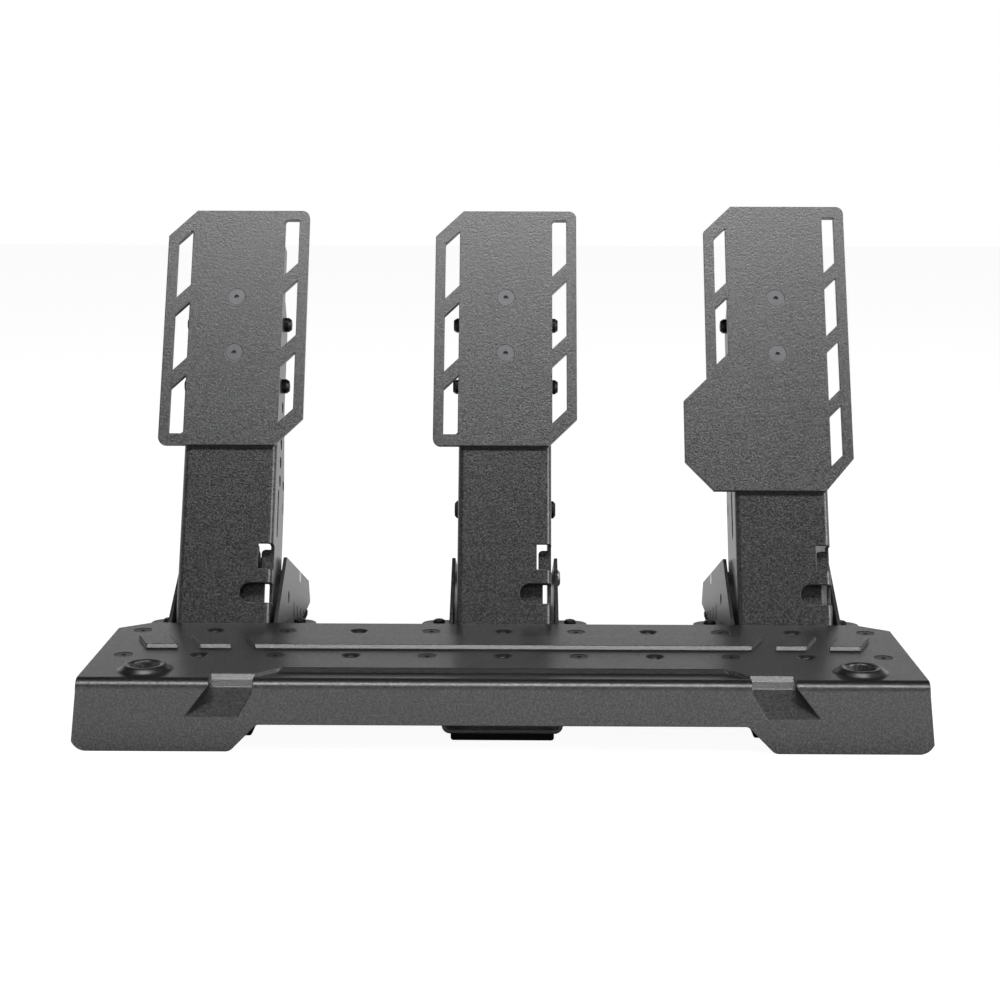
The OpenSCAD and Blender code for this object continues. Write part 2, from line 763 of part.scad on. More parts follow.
// Control box place, hung between the clutch and brake ears
box_x = (clutch_x + brake_x) / 2;
box_w = module_pitch - 2 * (ear_reach + box_gap);
box_y = (row_ys[0] + row_ys[1]) / 2;
box_rise = 6.5;
box_low = ear_top_z + box_rise - box_h;
lug_y = 14;
lug_t = 2.5;
lug_reach = module_pitch / 2 - ear_reach + 7.5;
lid_t = 1.6;
lip_t = 4;
lip_h = 4.5;
lip_gap = 3;
chip_t = 1.5;
socket_w = 12;
socket_h = 11;
socket_l = 15;
socket_z = box_low + 6.1;

module control_box() {
    color(black) from_front() translate([box_x, box_y, 0]) difference() {
        union() {
            translate([-box_w / 2, -box_d / 2, box_low]) cube([box_w, box_d, box_h]);
            translate([-lug_reach, -lug_y / 2, ear_top_z]) cube([2 * lug_reach, lug_y, lug_t]);
        }
        for (s = [-1, 1])
            translate([s * (module_pitch / 2 - lug_screw_x), 0, ear_top_z - cut])
                cylinder(h = lug_t + 2 * cut, r = ear_hole_r);
        translate([-box_w / 2 + box_t, -box_d / 2 + box_t, box_low - cut])
            cube([box_w - 2 * box_t, box_d - 2 * box_t, box_h - box_t + cut]);
        translate([-socket_w / 2, box_d / 2 - box_t - cut, socket_z])
            cube([socket_w, box_t + 2 * cut, socket_h]);
    }
}

module control_box_lid() {
    color(black) from_front() translate([box_x, box_y, box_low]) {
        translate([-box_w / 2, -box_d / 2, -lid_t]) cube([box_w, box_d, lid_t]);
        for (s = [-1, 1])
            translate([s * (box_w / 2 - box_t - lip_gap), 0, -lid_t / 2])
                translate([-lip_t / 2, -box_d / 2 + box_t + lip_t / 2, 0])
                    cube([lip_t, box_d - 2 * box_t - lip_t, lip_h + lid_t / 2]);
    }
}

module control_board() {
    color(board_green) from_front() translate([box_x, box_y, box_low + lip_h]) {
        translate([-box_w / 2 + box_t, -box_d / 2 + box_t, 0])
            cube([box_w - 2 * box_t, box_d - 2 * box_t, board_t]);
        translate([-17, -9, board_t]) cube([12, 12, chip_t]);
        translate([10, -8, board_t]) cube([6, 9, 1.5 * chip_t]);
    }
}

// Square data socket on the board's rear edge, open to the rear
module data_socket() {
    color(steel) from_front() translate([box_x, box_y + box_d / 2 + 0.5 - socket_l, socket_z]) difference() {
        translate([-socket_w / 2, 0, 0]) cube([socket_w, socket_l, socket_h]);
        translate([-socket_w / 2 + 1.5, 3, 1.3]) cube([socket_w - 3, socket_l, socket_h - 2.6]);
    }
}

// Side view of a channel's cheeks
module channel_side_view() {
    polygon([[channel_y, pad_t], [channel_y, low_wall_z], [cheek_start_y, low_wall_z], [peak_y, peak_z],
        [cheek_rear_y, cheek_rear_z], [channel_rear_y, pad_t]]);
}

// Where the cheek's front slope leaves the low wall
cheek_slope = 0.527;
cheek_start_y = peak_y - (peak_z - low_wall_z) / cheek_slope;
vent_ys = [216, 233, 250.5, 268];
vent_w = 3;
vent_drop = 25.5;
cheek_hole_y = peak_y + 5.5;
cheek_hole_z = 37;
cheek_hole_r = 3.5;

// Height of the cheek's top edge at a depth behind its peak
function cheek_top(y) = peak_z - (y - peak_y) * (peak_z - cheek_rear_z) / (cheek_rear_y - peak_y);

module channel(x) {
    color(coat) from_front() translate([x, 0, 0]) difference() {
        intersection() {
            along(channel_y, channel_rear_y) translate([0, pad_t])
                u_section(channel_w, peak_z, channel_t, channel_bend_r);
            across(channel_w + 2) channel_side_view();
        }
        translate([0, pivot_y, pivot_z]) x_rod(-channel_w, channel_w, bush_r);
        translate([0, trunnion_y, trunnion_z]) x_rod(-channel_w, channel_w, pin_d / 2 + running_gap);
        translate([0, cheek_hole_y, cheek_hole_z]) x_rod(-channel_w, channel_w, cheek_hole_r);
        for (y = vent_ys)
            across(channel_w + 2) {
                low = floor_z + 2;
                high = max(cheek_top(y) - vent_drop, low + 1.8);
                translate([y - vent_w / 2, low]) square([vent_w, high - low]);
                translate([y, high]) circle(vent_w / 2);
            }
        for (y = [rig_y, rig_y + rig_gap])
            translate([0, y, pad_t - cut]) cylinder(h = channel_t + 2 * cut, r = rig_hole_d / 2);
        for (s = [-1, 1], y = rivet_ys)
            translate([s * channel_w / 2, y, rivet_z]) x_rod(-channel_t - cut, channel_t + cut, rivet_d / 2);
    }
}

// Holes, slots and tabs of the arm, measured from its pivot
hub_r = 8;
foot_u = 26;
height_u = 92.3;
height_n = 15;
spare_u = 94;
spare_r = 3;
side_slot_u = 59.5;
side_slot_l = 24;
side_slot_w = 5;
side_slot_n = 19;
fold_in = 8.2;
corner_x = 18.6;
corner_u = 34.1;
corner_h = 15;
slot_x = 14.75;
slot_u = 20;
slot_r = 5.9;
tab_t = 2;
tab_r = 2.4;
tab_drop = 1.9;
stop_n = 8;
stop_x = 6;
stop_end_x = 22.2;
stop_rise = 3;

// Side view of an arm: walls that narrow upwards above a round lug
narrow_u = [88, 140];
wall_end_u = [bolt_u[1] + 3, bolt_u[1] + 15];
wall_end_d = 14;

module arm_side_view() {
    rear = arm_d - arm_face;
    top_rear = arm_top_d - arm_face;
    end_rear = wall_end_d - arm_face;
    circle(lug_r);
    polygon([[-arm_face, -6], [-arm_face, arm_l], [end_rear, arm_l], [end_rear, wall_end_u[1]],
        [top_rear, wall_end_u[0]], [top_rear, narrow_u[1]], [rear, narrow_u[0]], [rear, foot_u],
        [lug_r * 0.95, lug_r * 0.3], [0, -lug_r * 0.98], [-lug_r * 0.3, -lug_r * 0.95]]);
}

module arm(x) {
    color(dark_coat) arm_frame(x) {
        difference() {
            union() {
                intersection() {
                    translate([0, -arm_face, -2 * lug_r]) linear_extrude(arm_l + 3 * lug_r)
                        u_section(arm_w, arm_face + 2 * lug_r, arm_t, arm_bend_r);
                    across(arm_w + 2) arm_side_view();
                }
                x_rod(-arm_in - arm_t / 2, arm_in + arm_t / 2, hub_r);
            }
            x_rod(-arm_w, arm_w, shaft_r);
            for (i = [0:height_holes - 1])
                translate([0, -height_n, height_u + i * height_pitch])
                    x_rod(-arm_w, arm_w, height_hole_d / 2);
            for (u = bolt_u)
                translate([0, -bolt_y, u]) x_rod(-arm_w, arm_w, bolt_d / 2 + 0.1);
            across(arm_w + 2) {
                translate([-side_slot_n - side_slot_w / 2, side_slot_u]) square([side_slot_w, side_slot_l]);
                for (u = [side_slot_u, side_slot_u + side_slot_l])
                    translate([-side_slot_n, u]) circle(side_slot_w / 2);
            }
            translate([0, pin_back, pin_u]) x_rod(-arm_w, arm_w, pin_d / 2);
            translate([0, 0.8 * pin_back, spare_u]) x_rod(-arm_w, arm_w, spare_r);
            corner_window();
            lower_slot();
            for (s = [-1, 1])
                translate([0, -arm_face - cut, foot_screw_u + s * foot_screw_gap / 2]) rotate([-90, 0, 0])
                    cylinder(h = arm_t + 2 * cut, r = foot_hole_r);
        }
        slot_tab();
        corner_tab();
    }
}

// Tab folded back under the lower slot and up again behind it
module slot_tab() {
    low = slot_u - slot_r - tab_t;
    translate([slot_x - slot_r / 2, -arm_face + arm_t / 2, low])
        cube([stop_end_x - slot_x + slot_r / 2, stop_n, tab_t]);
    translate([stop_x, -arm_face + stop_n, low])
        cube([stop_end_x - stop_x, tab_t, 2 * slot_r + tab_t + stop_rise]);
}

// Tab behind the corner window, its upper inner corner rounded
module corner_tab() {
    w = arm_in - corner_x - 1 + arm_t / 4;
    translate([corner_x + 1, -arm_face + fold_in + tab_t, corner_u]) rotate([90, 0, 0]) linear_extrude(tab_t)
        difference() {
            square([w, corner_h - tab_drop]);
            translate([0, corner_h - tab_drop]) mirror([1, 0]) corner_cut(tab_r);
        }
}

// Square window through the arm's right-hand bend
module corner_window() {
    translate([corner_x, -arm_face - cut, corner_u]) cube([arm_w, fold_in + cut, corner_h]);
}

// Slot with a round end that runs out through the right-hand bend
module lower_slot() {
    translate([0, -arm_face - cut, slot_u]) rotate([-90, 0, 0]) linear_extrude(fold_in + cut) {
        translate([slot_x, 0]) circle(slot_r);
        translate([slot_x, -slot_r]) square([arm_w, 2 * slot_r]);
    }
}

module pivot_shaft(x) {
    color(steel) arm_frame(x) {
        x_rod(-arm_w / 2, arm_w / 2, shaft_r);
        x_rod(-channel_w / 2, channel_w / 2 + shaft_out, shaft_end_r);
    }
}

module magnet(x) {
    reach = channel_w / 2 + shaft_out;
    color(steel) arm_frame(x) x_rod(reach, reach + magnet_t, magnet_d / 2);
}

module plate_bracket(x) {
    w = 2 * arm_in - 0.3;
    color(dark_coat) arm_frame(x) difference() {
        translate([0, -arm_face + arm_t, bolt_u[0] - 7]) linear_extrude(bracket_h)
            u_section(w, bracket_d, bracket_t, arm_bend_r + 0.4);
        for (u = bolt_u)
            translate([0, -bolt_y, u]) x_rod(-arm_w, arm_w, bolt_d / 2);
        for (s = [-1, 1])
            translate([0, -arm_face, foot_screw_u + s * foot_screw_gap / 2]) rotate([-90, 0, 0])
                cylinder(h = arm_t + bracket_t + 2 * cut, r = bolt_d / 2);
    }
}

module side_bolts(x) {
    color(black) arm_frame(x) for (s = [-1, 1], u = bolt_u)
        translate([s * arm_w / 2, -bolt_y, u]) mirror([s < 0 ? 1 : 0, 0, 0])
            button_bolt(bolt_d, side_head_d, side_head_h, 8);
}

// Frame of a foot plate's outline: front face, X across, Y up the plate
module foot_plate_frame(x) {
    arm_frame(x) translate([0, -arm_face, foot_screw_u]) rotate([90, 0, 0]) children();
}

// Window with two 45 degree ends, its outer lower corner at height v
module slant_window(s, inner_x, v, w, h) {
    near = s * inner_x;
    far = s * (inner_x + w);
    polygon([[far, v], [near, v - s * w], [near, v - s * w + h], [far, v + h]]);
}

// Rims above the windows, and the throttle's window places
window_rim = 21.3;
end_rim = 6.9;
throttle_rim = 7.2;
left_window_h = 34.8;
left_windows = [20.6, -23.9];
right_window_h = 29.8;
right_windows = [40.6, 0.8, -39.2, -79.2];
top_window_h = 40;
lobe_top = 33;

// Clutch and brake foot plate outline about its own centre
module foot_plate_outline() {
    w = foot_plate_w / 2;
    h = foot_plate_l / 2;
    c = foot_plate_cut;
    difference() {
        polygon([[-w, -h], [w - c, -h], [w, -h + c], [w, h], [-w + c, h], [-w, h - c]]);
        translate([w, h]) corner_cut(foot_plate_r);
        translate([-w, -h]) mirror([1, 0]) mirror([0, 1]) corner_cut(foot_plate_r);
        for (turn = [0, 180])
            translate([0, turn > 0 ? window_lift : 0]) rotate(turn) intersection() {
                union() {
                    for (i = [0:2])
                        slant_window(-1, window_x, h - window_rim - window_h - i * window_pitch, window_w,
                            window_h);
                }
                translate([-w, -h + end_rim]) square([w, 2 * h]);
            }
    }
}

// Throttle foot plate outline about the screws' midpoint
module throttle_outline() {
    w = foot_plate_w / 2;
    top = throttle_plate_l - throttle_low;
    low = -throttle_low;
    lobe_v = -lobe_top;
    c = foot_plate_cut;
    ww = throttle_window_w;
    difference() {
        polygon([[-w - lobe_w + c, low], [w - c, low], [w, low + c + 3], [w, top], [-w + c, top],
            [-w, top - c], [-w, lobe_v], [-w - lobe_w, lobe_v - lobe_w], [-w - lobe_w, low + c + 1]]);
        translate([w, top]) corner_cut(foot_plate_r);
        for (v = left_windows)
            slant_window(-1, throttle_window_x, v, ww, left_window_h);
        intersection() {
            union() {
                for (v = right_windows)
                    slant_window(1, throttle_window_x, v, ww,
                        v == right_windows[0] ? top_window_h : right_window_h);
            }
            translate([0, low]) square([w, top - low - throttle_rim]);
        }
    }
}

// Screw holes of a foot plate, sunk from the front
module foot_plate_holes() {
    for (s = [-1, 1])
        translate([0, s * foot_screw_gap / 2, 0]) {
            translate([0, 0, -cut]) cylinder(h = foot_plate_t + 2 * cut, r = foot_hole_r);
            translate([0, 0, foot_plate_t]) sink(foot_hole_r, foot_head_r, foot_sink_h);
        }
}

module foot_plate(x) {
    color(coat) foot_plate_frame(x) difference() {
        translate([0, -0.8, 0]) linear_extrude(foot_plate_t) foot_plate_outline();
        foot_plate_holes();
    }
}

module throttle_foot_plate() {
    color(coat) foot_plate_frame(throttle_x) difference() {
        linear_extrude(foot_plate_t) throttle_outline();
        foot_plate_holes();
    }
}

module plate_screws(x) {
    color(black) foot_plate_frame(x) for (s = [-1, 1])
        translate([0, s * foot_screw_gap / 2, foot_plate_t])
            sunk_screw(bolt_d, foot_hole_r, foot_head_r, foot_sink_h, foot_plate_t + arm_t + bracket_t + 2);
}

module rod_pin(x) {
    color(black) arm_frame(x) translate([0, pin_back, pin_u]) {
        x_rod(-arm_w / 2, arm_w / 2, pin_d / 2);
        if (x == brake_x)
            for (s = [-1, 1])
                mirror([s < 0 ? 1 : 0, 0, 0]) translate([arm_w / 2, 0, 0]) {
                    x_rod(0, pin_head_t, pin_head_r);
                    translate([pin_head_t, 0, 0]) rotate([0, 90, 0])
                        cylinder(h = pin_crown_t, r1 = pin_head_r, r2 = pin_head_r * 0.73);
                }
    }
}

// Rod with an eye at its top, a spring collar and a plain lower end
module spring_rod(x) {
    color(steel) rod_frame(x) difference() {
        union() {
            x_rod(-rod_eye_r, rod_eye_r, rod_eye_r);
            cylinder(h = rod_span + trunnion_half + nut_gap + nut_t + 0.5, r = rod_d / 2);
            translate([0, 0, collar_z]) cylinder(h = collar_t, r = spring_d / 2 + wire_d / 2 + collar_rim);
        }
        x_rod(-rod_eye_r - cut, rod_eye_r + cut, pin_d / 2 + running_gap);
    }
}

module rod_nut(x) {
    color(black) trunnion_frame(x) translate([0, 0, trunnion_half + nut_gap]) difference() {
        cylinder(h = nut_t, r = rod_nut_r);
        translate([0, 0, -cut]) cylinder(h = nut_t + 2 * cut, r = rod_d / 2);
    }
}

module bump_sleeve(x) {
    color(rubber) rod_frame(x) translate([0, 0, spring_z]) difference() {
        cylinder(h = sleeve_end - spring_z, r = spring_d / 2 - wire_d / 2 - 0.5);
        translate([0, 0, -cut]) cylinder(h = rod_span, r = rod_d / 2 + sleeve_gap);
    }
}

// Block that turns between the cheeks and lets the rod slide through
module trunnion(x) {
    color(steel) trunnion_frame(x) difference() {
        union() {
            translate([-trunnion_half_w, -trunnion_half_d, -trunnion_half])
                cube([2 * trunnion_half_w, 2 * trunnion_half_d, 2 * trunnion_half]);
            x_rod(-channel_in + 0.3, channel_in - 0.3, pin_d / 2 + 1);
            x_rod(-channel_w / 2, channel_w / 2, pin_d / 2);
            if (x == brake_x)
                translate([channel_w / 2, 0, 0]) {
                    x_rod(pin_side_gap, pin_side_gap + pin_head_t, pin_head_r);
                    x_rod(-channel_t, pin_side_gap + pin_head_t / 2, pin_d / 2);
                    translate([pin_side_gap + pin_head_t, 0, 0]) rotate([0, 90, 0])
                        cylinder(h = pin_crown_t, r1 = pin_head_r, r2 = pin_head_r * 0.73);
                }
        }
        translate([0, 0, -2 * trunnion_half]) cylinder(h = 4 * trunnion_half, r = rod_d / 2 + rod_hole_gap);
    }
}

module brake_load_cell() {
    color(steel) trunnion_frame(brake_x) translate([0, 0, -trunnion_half - load_cell_t]) difference() {
        union() {
            cylinder(h = load_cell_t, r = load_cell_r);
            cylinder(h = load_cell_t - load_rim_gap, r = load_rim_r);
        }
        translate([0, 0, -cut]) cylinder(h = load_cell_t + 2 * cut, r = rod_d / 2 + rod_hole_gap);
    }
}

// Rubber rings and washers in turn between the collar and the load cell
washer_t = 1.5;
stack_l = spring_end - load_cell_t - spring_z;
ring_l = (stack_l - (ring_count - 1) * washer_t) / ring_count;

module brake_rubber_rings() {
    color(rubber) rod_frame(brake_x) for (i = [0:ring_count - 1])
        translate([0, 0, spring_z + i * (ring_l + washer_t)]) difference() {
            cylinder(h = ring_l, r = stack_ring_r);
            translate([0, 0, -cut]) cylinder(h = ring_l + 2 * cut, r = rod_d / 2 + stack_gap);
        }
}

module brake_ring_washers() {
    color(steel) rod_frame(brake_x) for (i = [1:ring_count - 1])
        translate([0, 0, spring_z + i * (ring_l + washer_t) - washer_t]) difference() {
            cylinder(h = washer_t, r = stack_washer_r);
            translate([0, 0, -cut]) cylinder(h = washer_t + 2 * cut, r = rod_d / 2 + washer_gap);
        }
}

// Return spring: one unbroken helical tube with closely wound end turns
ring_steps = 8;
wire_sides = 6;
end_pitch = wire_d + 0.6;
mid_pitch = (spring_end - spring_z - 2 * coil_seat - 2 * end_pitch) / (spring_turns - 2);
function coil_z(s) = spring_z + coil_seat
    + (s < 1 ? s * end_pitch
        : s < spring_turns - 1 ? end_pitch + (s - 1) * mid_pitch
        : end_pitch + (spring_turns - 2) * mid_pitch + (s - spring_turns + 1) * end_pitch);
function coil_centre(s) = [spring_d / 2 * cos(360 * s), spring_d / 2 * sin(360 * s), coil_z(s)];
function coil_rise(s) = (s < 1 || s > spring_turns - 1 ? end_pitch : mid_pitch) / (PI * spring_d);
function coil_ring(s) = let (k = coil_rise(s), n = sqrt(1 + k * k))
    [for (j = [0:wire_sides - 1]) let (a = 360 * j / wire_sides)
        coil_centre(s) + wire_d / 2 * (cos(a) * [cos(360 * s), sin(360 * s), 0]
            + sin(a) * [k * sin(360 * s), -k * cos(360 * s), 1] / n)];
coil_rings = [for (i = [0:spring_turns * ring_steps]) coil_ring(i / ring_steps)];
coil_last = spring_turns * ring_steps;
coil_gap = min([for (i = [0:coil_last - 5]) for (j = [i + 5:coil_last])
    norm(coil_centre(i / ring_steps) - coil_centre(j / ring_steps))]) - wire_d;
echo(spring_gap_to_itself = coil_gap);

module return_spring(x) {
    n = wire_sides;
    points = [for (ring = coil_rings) for (p = ring) p];
    sides = [for (i = [0:coil_last - 1]) for (j = [0:n - 1]) for (f = [0, 1])
        f == 0 ? [i * n + j, (i + 1) * n + (j + 1) % n, i * n + (j + 1) % n]
            : [i * n + j, (i + 1) * n + j, (i + 1) * n + (j + 1) % n]];
    ends = [for (j = [1:n - 2]) for (f = [0, 1])
        f == 0 ? [0, j, j + 1] : [coil_last * n, coil_last * n + j + 1, coil_last * n + j]];
    color(black) rod_frame(x) polyhedron(points = points, faces = concat(sides, ends));
}

heel_plate();
heel_plate_screws();
heel_plate_nuts();
plate_spacers();
mounting_ears();
ear_rivets();
ear_screws();
ear_nuts();
foot_pads();
pivot_bushes();
sensor_housings();
sensor_boards();
control_box();
control_box_lid();
control_board();
data_socket();
channel(clutch_x);  // clutch_channel
arm(clutch_x);  // clutch_arm
pivot_shaft(clutch_x);  // clutch_pivot_shaft
plate_bracket(clutch_x);  // clutch_plate_bracket
foot_plate(clutch_x);  // clutch_foot_plate
plate_screws(clutch_x);  // clutch_plate_screws
side_bolts(clutch_x);  // clutch_side_bolts
magnet(clutch_x);  // clutch_magnet
rod_pin(clutch_x);  // clutch_rod_pin
spring_rod(clutch_x);  // clutch_spring_rod
return_spring(clutch_x);  // clutch_return_spring
bump_sleeve(clutch_x);  // clutch_bump_sleeve
rod_nut(clutch_x);  // clutch_rod_nut
trunnion(clutch_x);  // clutch_trunnion
channel(brake_x);  // brake_channel
arm(brake_x);  // brake_arm
pivot_shaft(brake_x);  // brake_pivot_shaft
plate_bracket(brake_x);  // brake_plate_bracket
foot_plate(brake_x);  // brake_foot_plate
plate_screws(brake_x);  // brake_plate_screws
side_bolts(brake_x);  // brake_side_bolts
magnet(brake_x);  // brake_magnet
rod_pin(brake_x);  // brake_rod_pin
spring_rod(brake_x);  // brake_spring_rod
brake_rubber_rings();
brake_ring_washers();
brake_load_cell();
rod_nut(brake_x);  // brake_rod_nut
trunnion(brake_x);  // brake_trunnion
channel(throttle_x);  // throttle_channel
arm(throttle_x);  // throttle_arm
pivot_shaft(throttle_x);  // throttle_pivot_shaft
plate_bracket(throttle_x);  // throttle_plate_bracket
throttle_foot_plate();
plate_screws(throttle_x);  // throttle_plate_screws
side_bolts(throttle_x);  // throttle_side_bolts
magnet(throttle_x);  // throttle_magnet
rod_pin(throttle_x);  // throttle_rod_pin
spring_rod(throttle_x);  // throttle_spring_rod
return_spring(throttle_x);  // throttle_return_spring
bump_sleeve(throttle_x);  // throttle_bump_sleeve
rod_nut(throttle_x);  // throttle_rod_nut
trunnion(throttle_x);  // throttle_trunnion
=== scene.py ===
"""Looks of a three-pedal set for a driving simulator, laid out as a Blender add-on and run as a script.

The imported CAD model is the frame. Every operator dresses one group of its pieces.
Units are metres, +Y away from the driver, +Z up.
"""

import json
import math

import bmesh
import bpy
from bpy.props import FloatProperty, FloatVectorProperty, IntProperty, PointerProperty
from mathutils import Matrix, Vector


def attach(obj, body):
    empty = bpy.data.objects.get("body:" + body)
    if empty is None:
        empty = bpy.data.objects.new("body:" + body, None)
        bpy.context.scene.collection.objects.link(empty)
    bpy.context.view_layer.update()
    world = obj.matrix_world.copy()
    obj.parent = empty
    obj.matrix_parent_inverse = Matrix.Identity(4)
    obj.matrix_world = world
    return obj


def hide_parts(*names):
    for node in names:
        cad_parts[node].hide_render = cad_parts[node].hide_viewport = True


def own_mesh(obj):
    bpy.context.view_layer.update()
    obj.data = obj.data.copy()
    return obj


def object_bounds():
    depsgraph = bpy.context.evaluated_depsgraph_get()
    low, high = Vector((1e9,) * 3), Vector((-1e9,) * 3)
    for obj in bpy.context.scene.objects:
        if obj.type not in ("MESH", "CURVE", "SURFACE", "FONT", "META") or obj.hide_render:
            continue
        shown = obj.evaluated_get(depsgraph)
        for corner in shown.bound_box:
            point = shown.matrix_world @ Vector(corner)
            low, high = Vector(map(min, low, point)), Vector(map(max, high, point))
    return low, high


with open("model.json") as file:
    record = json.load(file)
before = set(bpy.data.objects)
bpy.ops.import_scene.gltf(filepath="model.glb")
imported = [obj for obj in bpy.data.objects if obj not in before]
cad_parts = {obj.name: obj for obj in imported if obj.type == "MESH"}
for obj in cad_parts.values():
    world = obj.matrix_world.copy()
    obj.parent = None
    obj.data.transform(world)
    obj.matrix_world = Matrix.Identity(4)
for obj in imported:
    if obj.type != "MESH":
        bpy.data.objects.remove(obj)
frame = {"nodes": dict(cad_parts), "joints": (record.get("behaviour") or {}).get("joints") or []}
CAD_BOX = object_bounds()
NODES = frame["nodes"]
JOINTS = {joint["name"]: joint for joint in frame["joints"]}
PEDALS = ("clutch", "brake", "throttle")

bl_info = {
    "name": "Simulator pedal set looks",
    "version": (1, 0, 0),
    "blender": (4, 5, 0),
    "location": "3D view > Sidebar > Pedals",
    "description": "Finishes and soft or wound pieces of a three-pedal set",
    "category": "Object",
}


# Sizes and colours that a user would change

class CoatSettings(bpy.types.PropertyGroup):
    """Powder coats of the steel parts."""

    plate_tone: FloatProperty(
        name="Heel plate tone", description="Grey level of the heel plate's coat", default=0.045,
        min=0, max=1)
    channel_tone: FloatProperty(
        name="Channel tone", description="Grey level of the channels and ears", default=0.036, min=0, max=1)
    arm_tone: FloatProperty(
        name="Arm tone", description="Grey level of the pedal arms", default=0.024, min=0, max=1)
    foot_tone: FloatProperty(
        name="Foot plate tone", description="Grey level of the foot plates", default=0.032, min=0, max=1)
    speckle: FloatProperty(
        name="Speckle", description="Contrast of the coat's fine grain", default=1.0, min=0, max=1)
    grain: FloatProperty(
        name="Grain size", description="Size of one grain of the coat", default=0.0007, min=0.0001, max=0.005,
        subtype="DISTANCE")
    edge: FloatProperty(
        name="Edge radius", description="Radius at which the coat rounds the sheet's edges", default=0.0008,
        min=0, max=0.003, subtype="DISTANCE")


class MetalSettings(bpy.types.PropertyGroup):
    """Bare, plated and blackened metals."""

    black_tone: FloatVectorProperty(
        name="Black oxide", description="Colour of screws, pins and springs", default=(0.018, 0.018, 0.019),
        subtype="COLOR", min=0, max=1)
    zinc_tone: FloatVectorProperty(
        name="Zinc", description="Colour of the plated rods and trunnions", default=(0.55, 0.56, 0.58),
        subtype="COLOR", min=0, max=1)
    bronze_tone: FloatVectorProperty(
        name="Bronze", description="Colour of the pivot bushes", default=(0.55, 0.36, 0.16),
        subtype="COLOR", min=0, max=1)


class SpringSettings(bpy.types.PropertyGroup):
    """Return springs, rubber rings and sleeves on the rods."""

    turns: IntProperty(name="Turns", description="Turns of a return spring", default=9, min=4, max=20)
    wire: FloatProperty(
        name="Wire", description="Wire diameter of a return spring", default=0.0025, min=0.001, max=0.004,
        subtype="DISTANCE")
    width: FloatProperty(
        name="Width", description="Mean diameter of a return spring", default=0.015, min=0.01, max=0.03,
        subtype="DISTANCE")
    collar: FloatProperty(
        name="Collar", description="Distance from the upper pin to the spring's seat", default=0.012,
        min=0.005, max=0.03, subtype="DISTANCE")
    block: FloatProperty(
        name="Block", description="Half thickness of the trunnion block", default=0.005, min=0.002, max=0.01,
        subtype="DISTANCE")
    cell: FloatProperty(
        name="Load cell", description="Thickness of the brake's load cell", default=0.009,
        min=0.004, max=0.02, subtype="DISTANCE")


class StageSettings(bpy.types.PropertyGroup):
    """Camera, lamps and backdrop."""

    lens: FloatProperty(
        name="Lens", description="Focal length of the camera", default=70.27, min=20, max=200)
    distance: FloatProperty(
        name="Distance", description="Camera to the heel plate's front, along the floor", default=0.9473,
        min=0.3, max=5, subtype="DISTANCE")
    aside: FloatProperty(
        name="Aside", description="Camera to the right of the middle", default=0.0071, min=-1, max=1,
        subtype="DISTANCE")
    height: FloatProperty(
        name="Height", description="Camera above the floor", default=0.2927, min=0, max=3, subtype="DISTANCE")
    tilt: FloatProperty(
        name="Tilt", description="How far the camera looks down", default=math.radians(9.789),
        subtype="ANGLE")
    turn: FloatProperty(
        name="Turn", description="How far the camera looks to the left", default=math.radians(0.5045),
        subtype="ANGLE")
    roll: FloatProperty(
        name="Roll", description="How far the camera leans over", default=math.radians(0.1291),
        subtype="ANGLE")
    key: FloatProperty(
        name="Upper lamp", description="Power of the high front lamp in watts", default=34, min=0)
    front: FloatProperty(
        name="Front lamp", description="Power of the low front lamp in watts", default=2, min=0)
    left: FloatProperty(
        name="Left lamp", description="Power of the left lamp in watts", default=0.5, min=0)
    right: FloatProperty(
        name="Right lamp", description="Power of the right lamp in watts", default=26, min=0)
    fill: FloatProperty(
        name="Fill", description="Strength of the soft light from all round", default=0.05, min=0)


class PedalSetSettings(bpy.types.PropertyGroup):
    """All settings of the pedal set."""

    coat: PointerProperty(type=CoatSettings)
    metal: PointerProperty(type=MetalSettings)
    spring: PointerProperty(type=SpringSettings)
    stage: PointerProperty(type=StageSettings)


def settings():
    """The scene's pedal set settings."""
    return bpy.context.scene.pedal_set


# Shader helpers

def add(tree, kind, sockets=None, **props):
    """Adds a shader node, sets its properties and fills or links its sockets."""
    made = tree.nodes.new(kind)
    for key, value in props.items():
        setattr(made, key, value)
    for key, value in (sockets or {}).items():
        if isinstance(value, bpy.types.NodeSocket):
            tree.links.new(value, made.inputs[key])
        else:
            made.inputs[key].default_value = value
    return made


def new_material(name):
    """An empty node material, its tree and its principled shader."""
    material = bpy.data.materials.new(name)
    material.use_nodes = True
    tree = material.node_tree
    tree.nodes.clear()
    shader = tree.nodes.new("ShaderNodeBsdfPrincipled")
    output = tree.nodes.new("ShaderNodeOutputMaterial")
    tree.links.new(shader.outputs["BSDF"], output.inputs["Surface"])
    return material, tree, shader


def ramp(tree, value, low, high, low_tone, high_tone):
    """Maps a value between two levels to a number between two others."""
    return add(tree, "ShaderNodeMapRange", {
        "Value": value, "From Min": low, "From Max": high, "To Min": low_tone, "To Max": high_tone,
    }).outputs["Result"]


def noise(tree, place, scale, detail=2.0, rough=0.5):
    """Fractal noise at a number of cells per metre."""
    return add(tree, "ShaderNodeTexNoise", {
        "Vector": place, "Scale": scale, "Detail": detail, "Roughness": rough,
    }).outputs["Fac"]


def maths(tree, operation, first, second=0.0, clamp=False):
    """One arithmetic step on two numbers."""
    return add(tree, "ShaderNodeMath", {0: first, 1: second}, operation=operation, use_clamp=clamp).outputs[0]


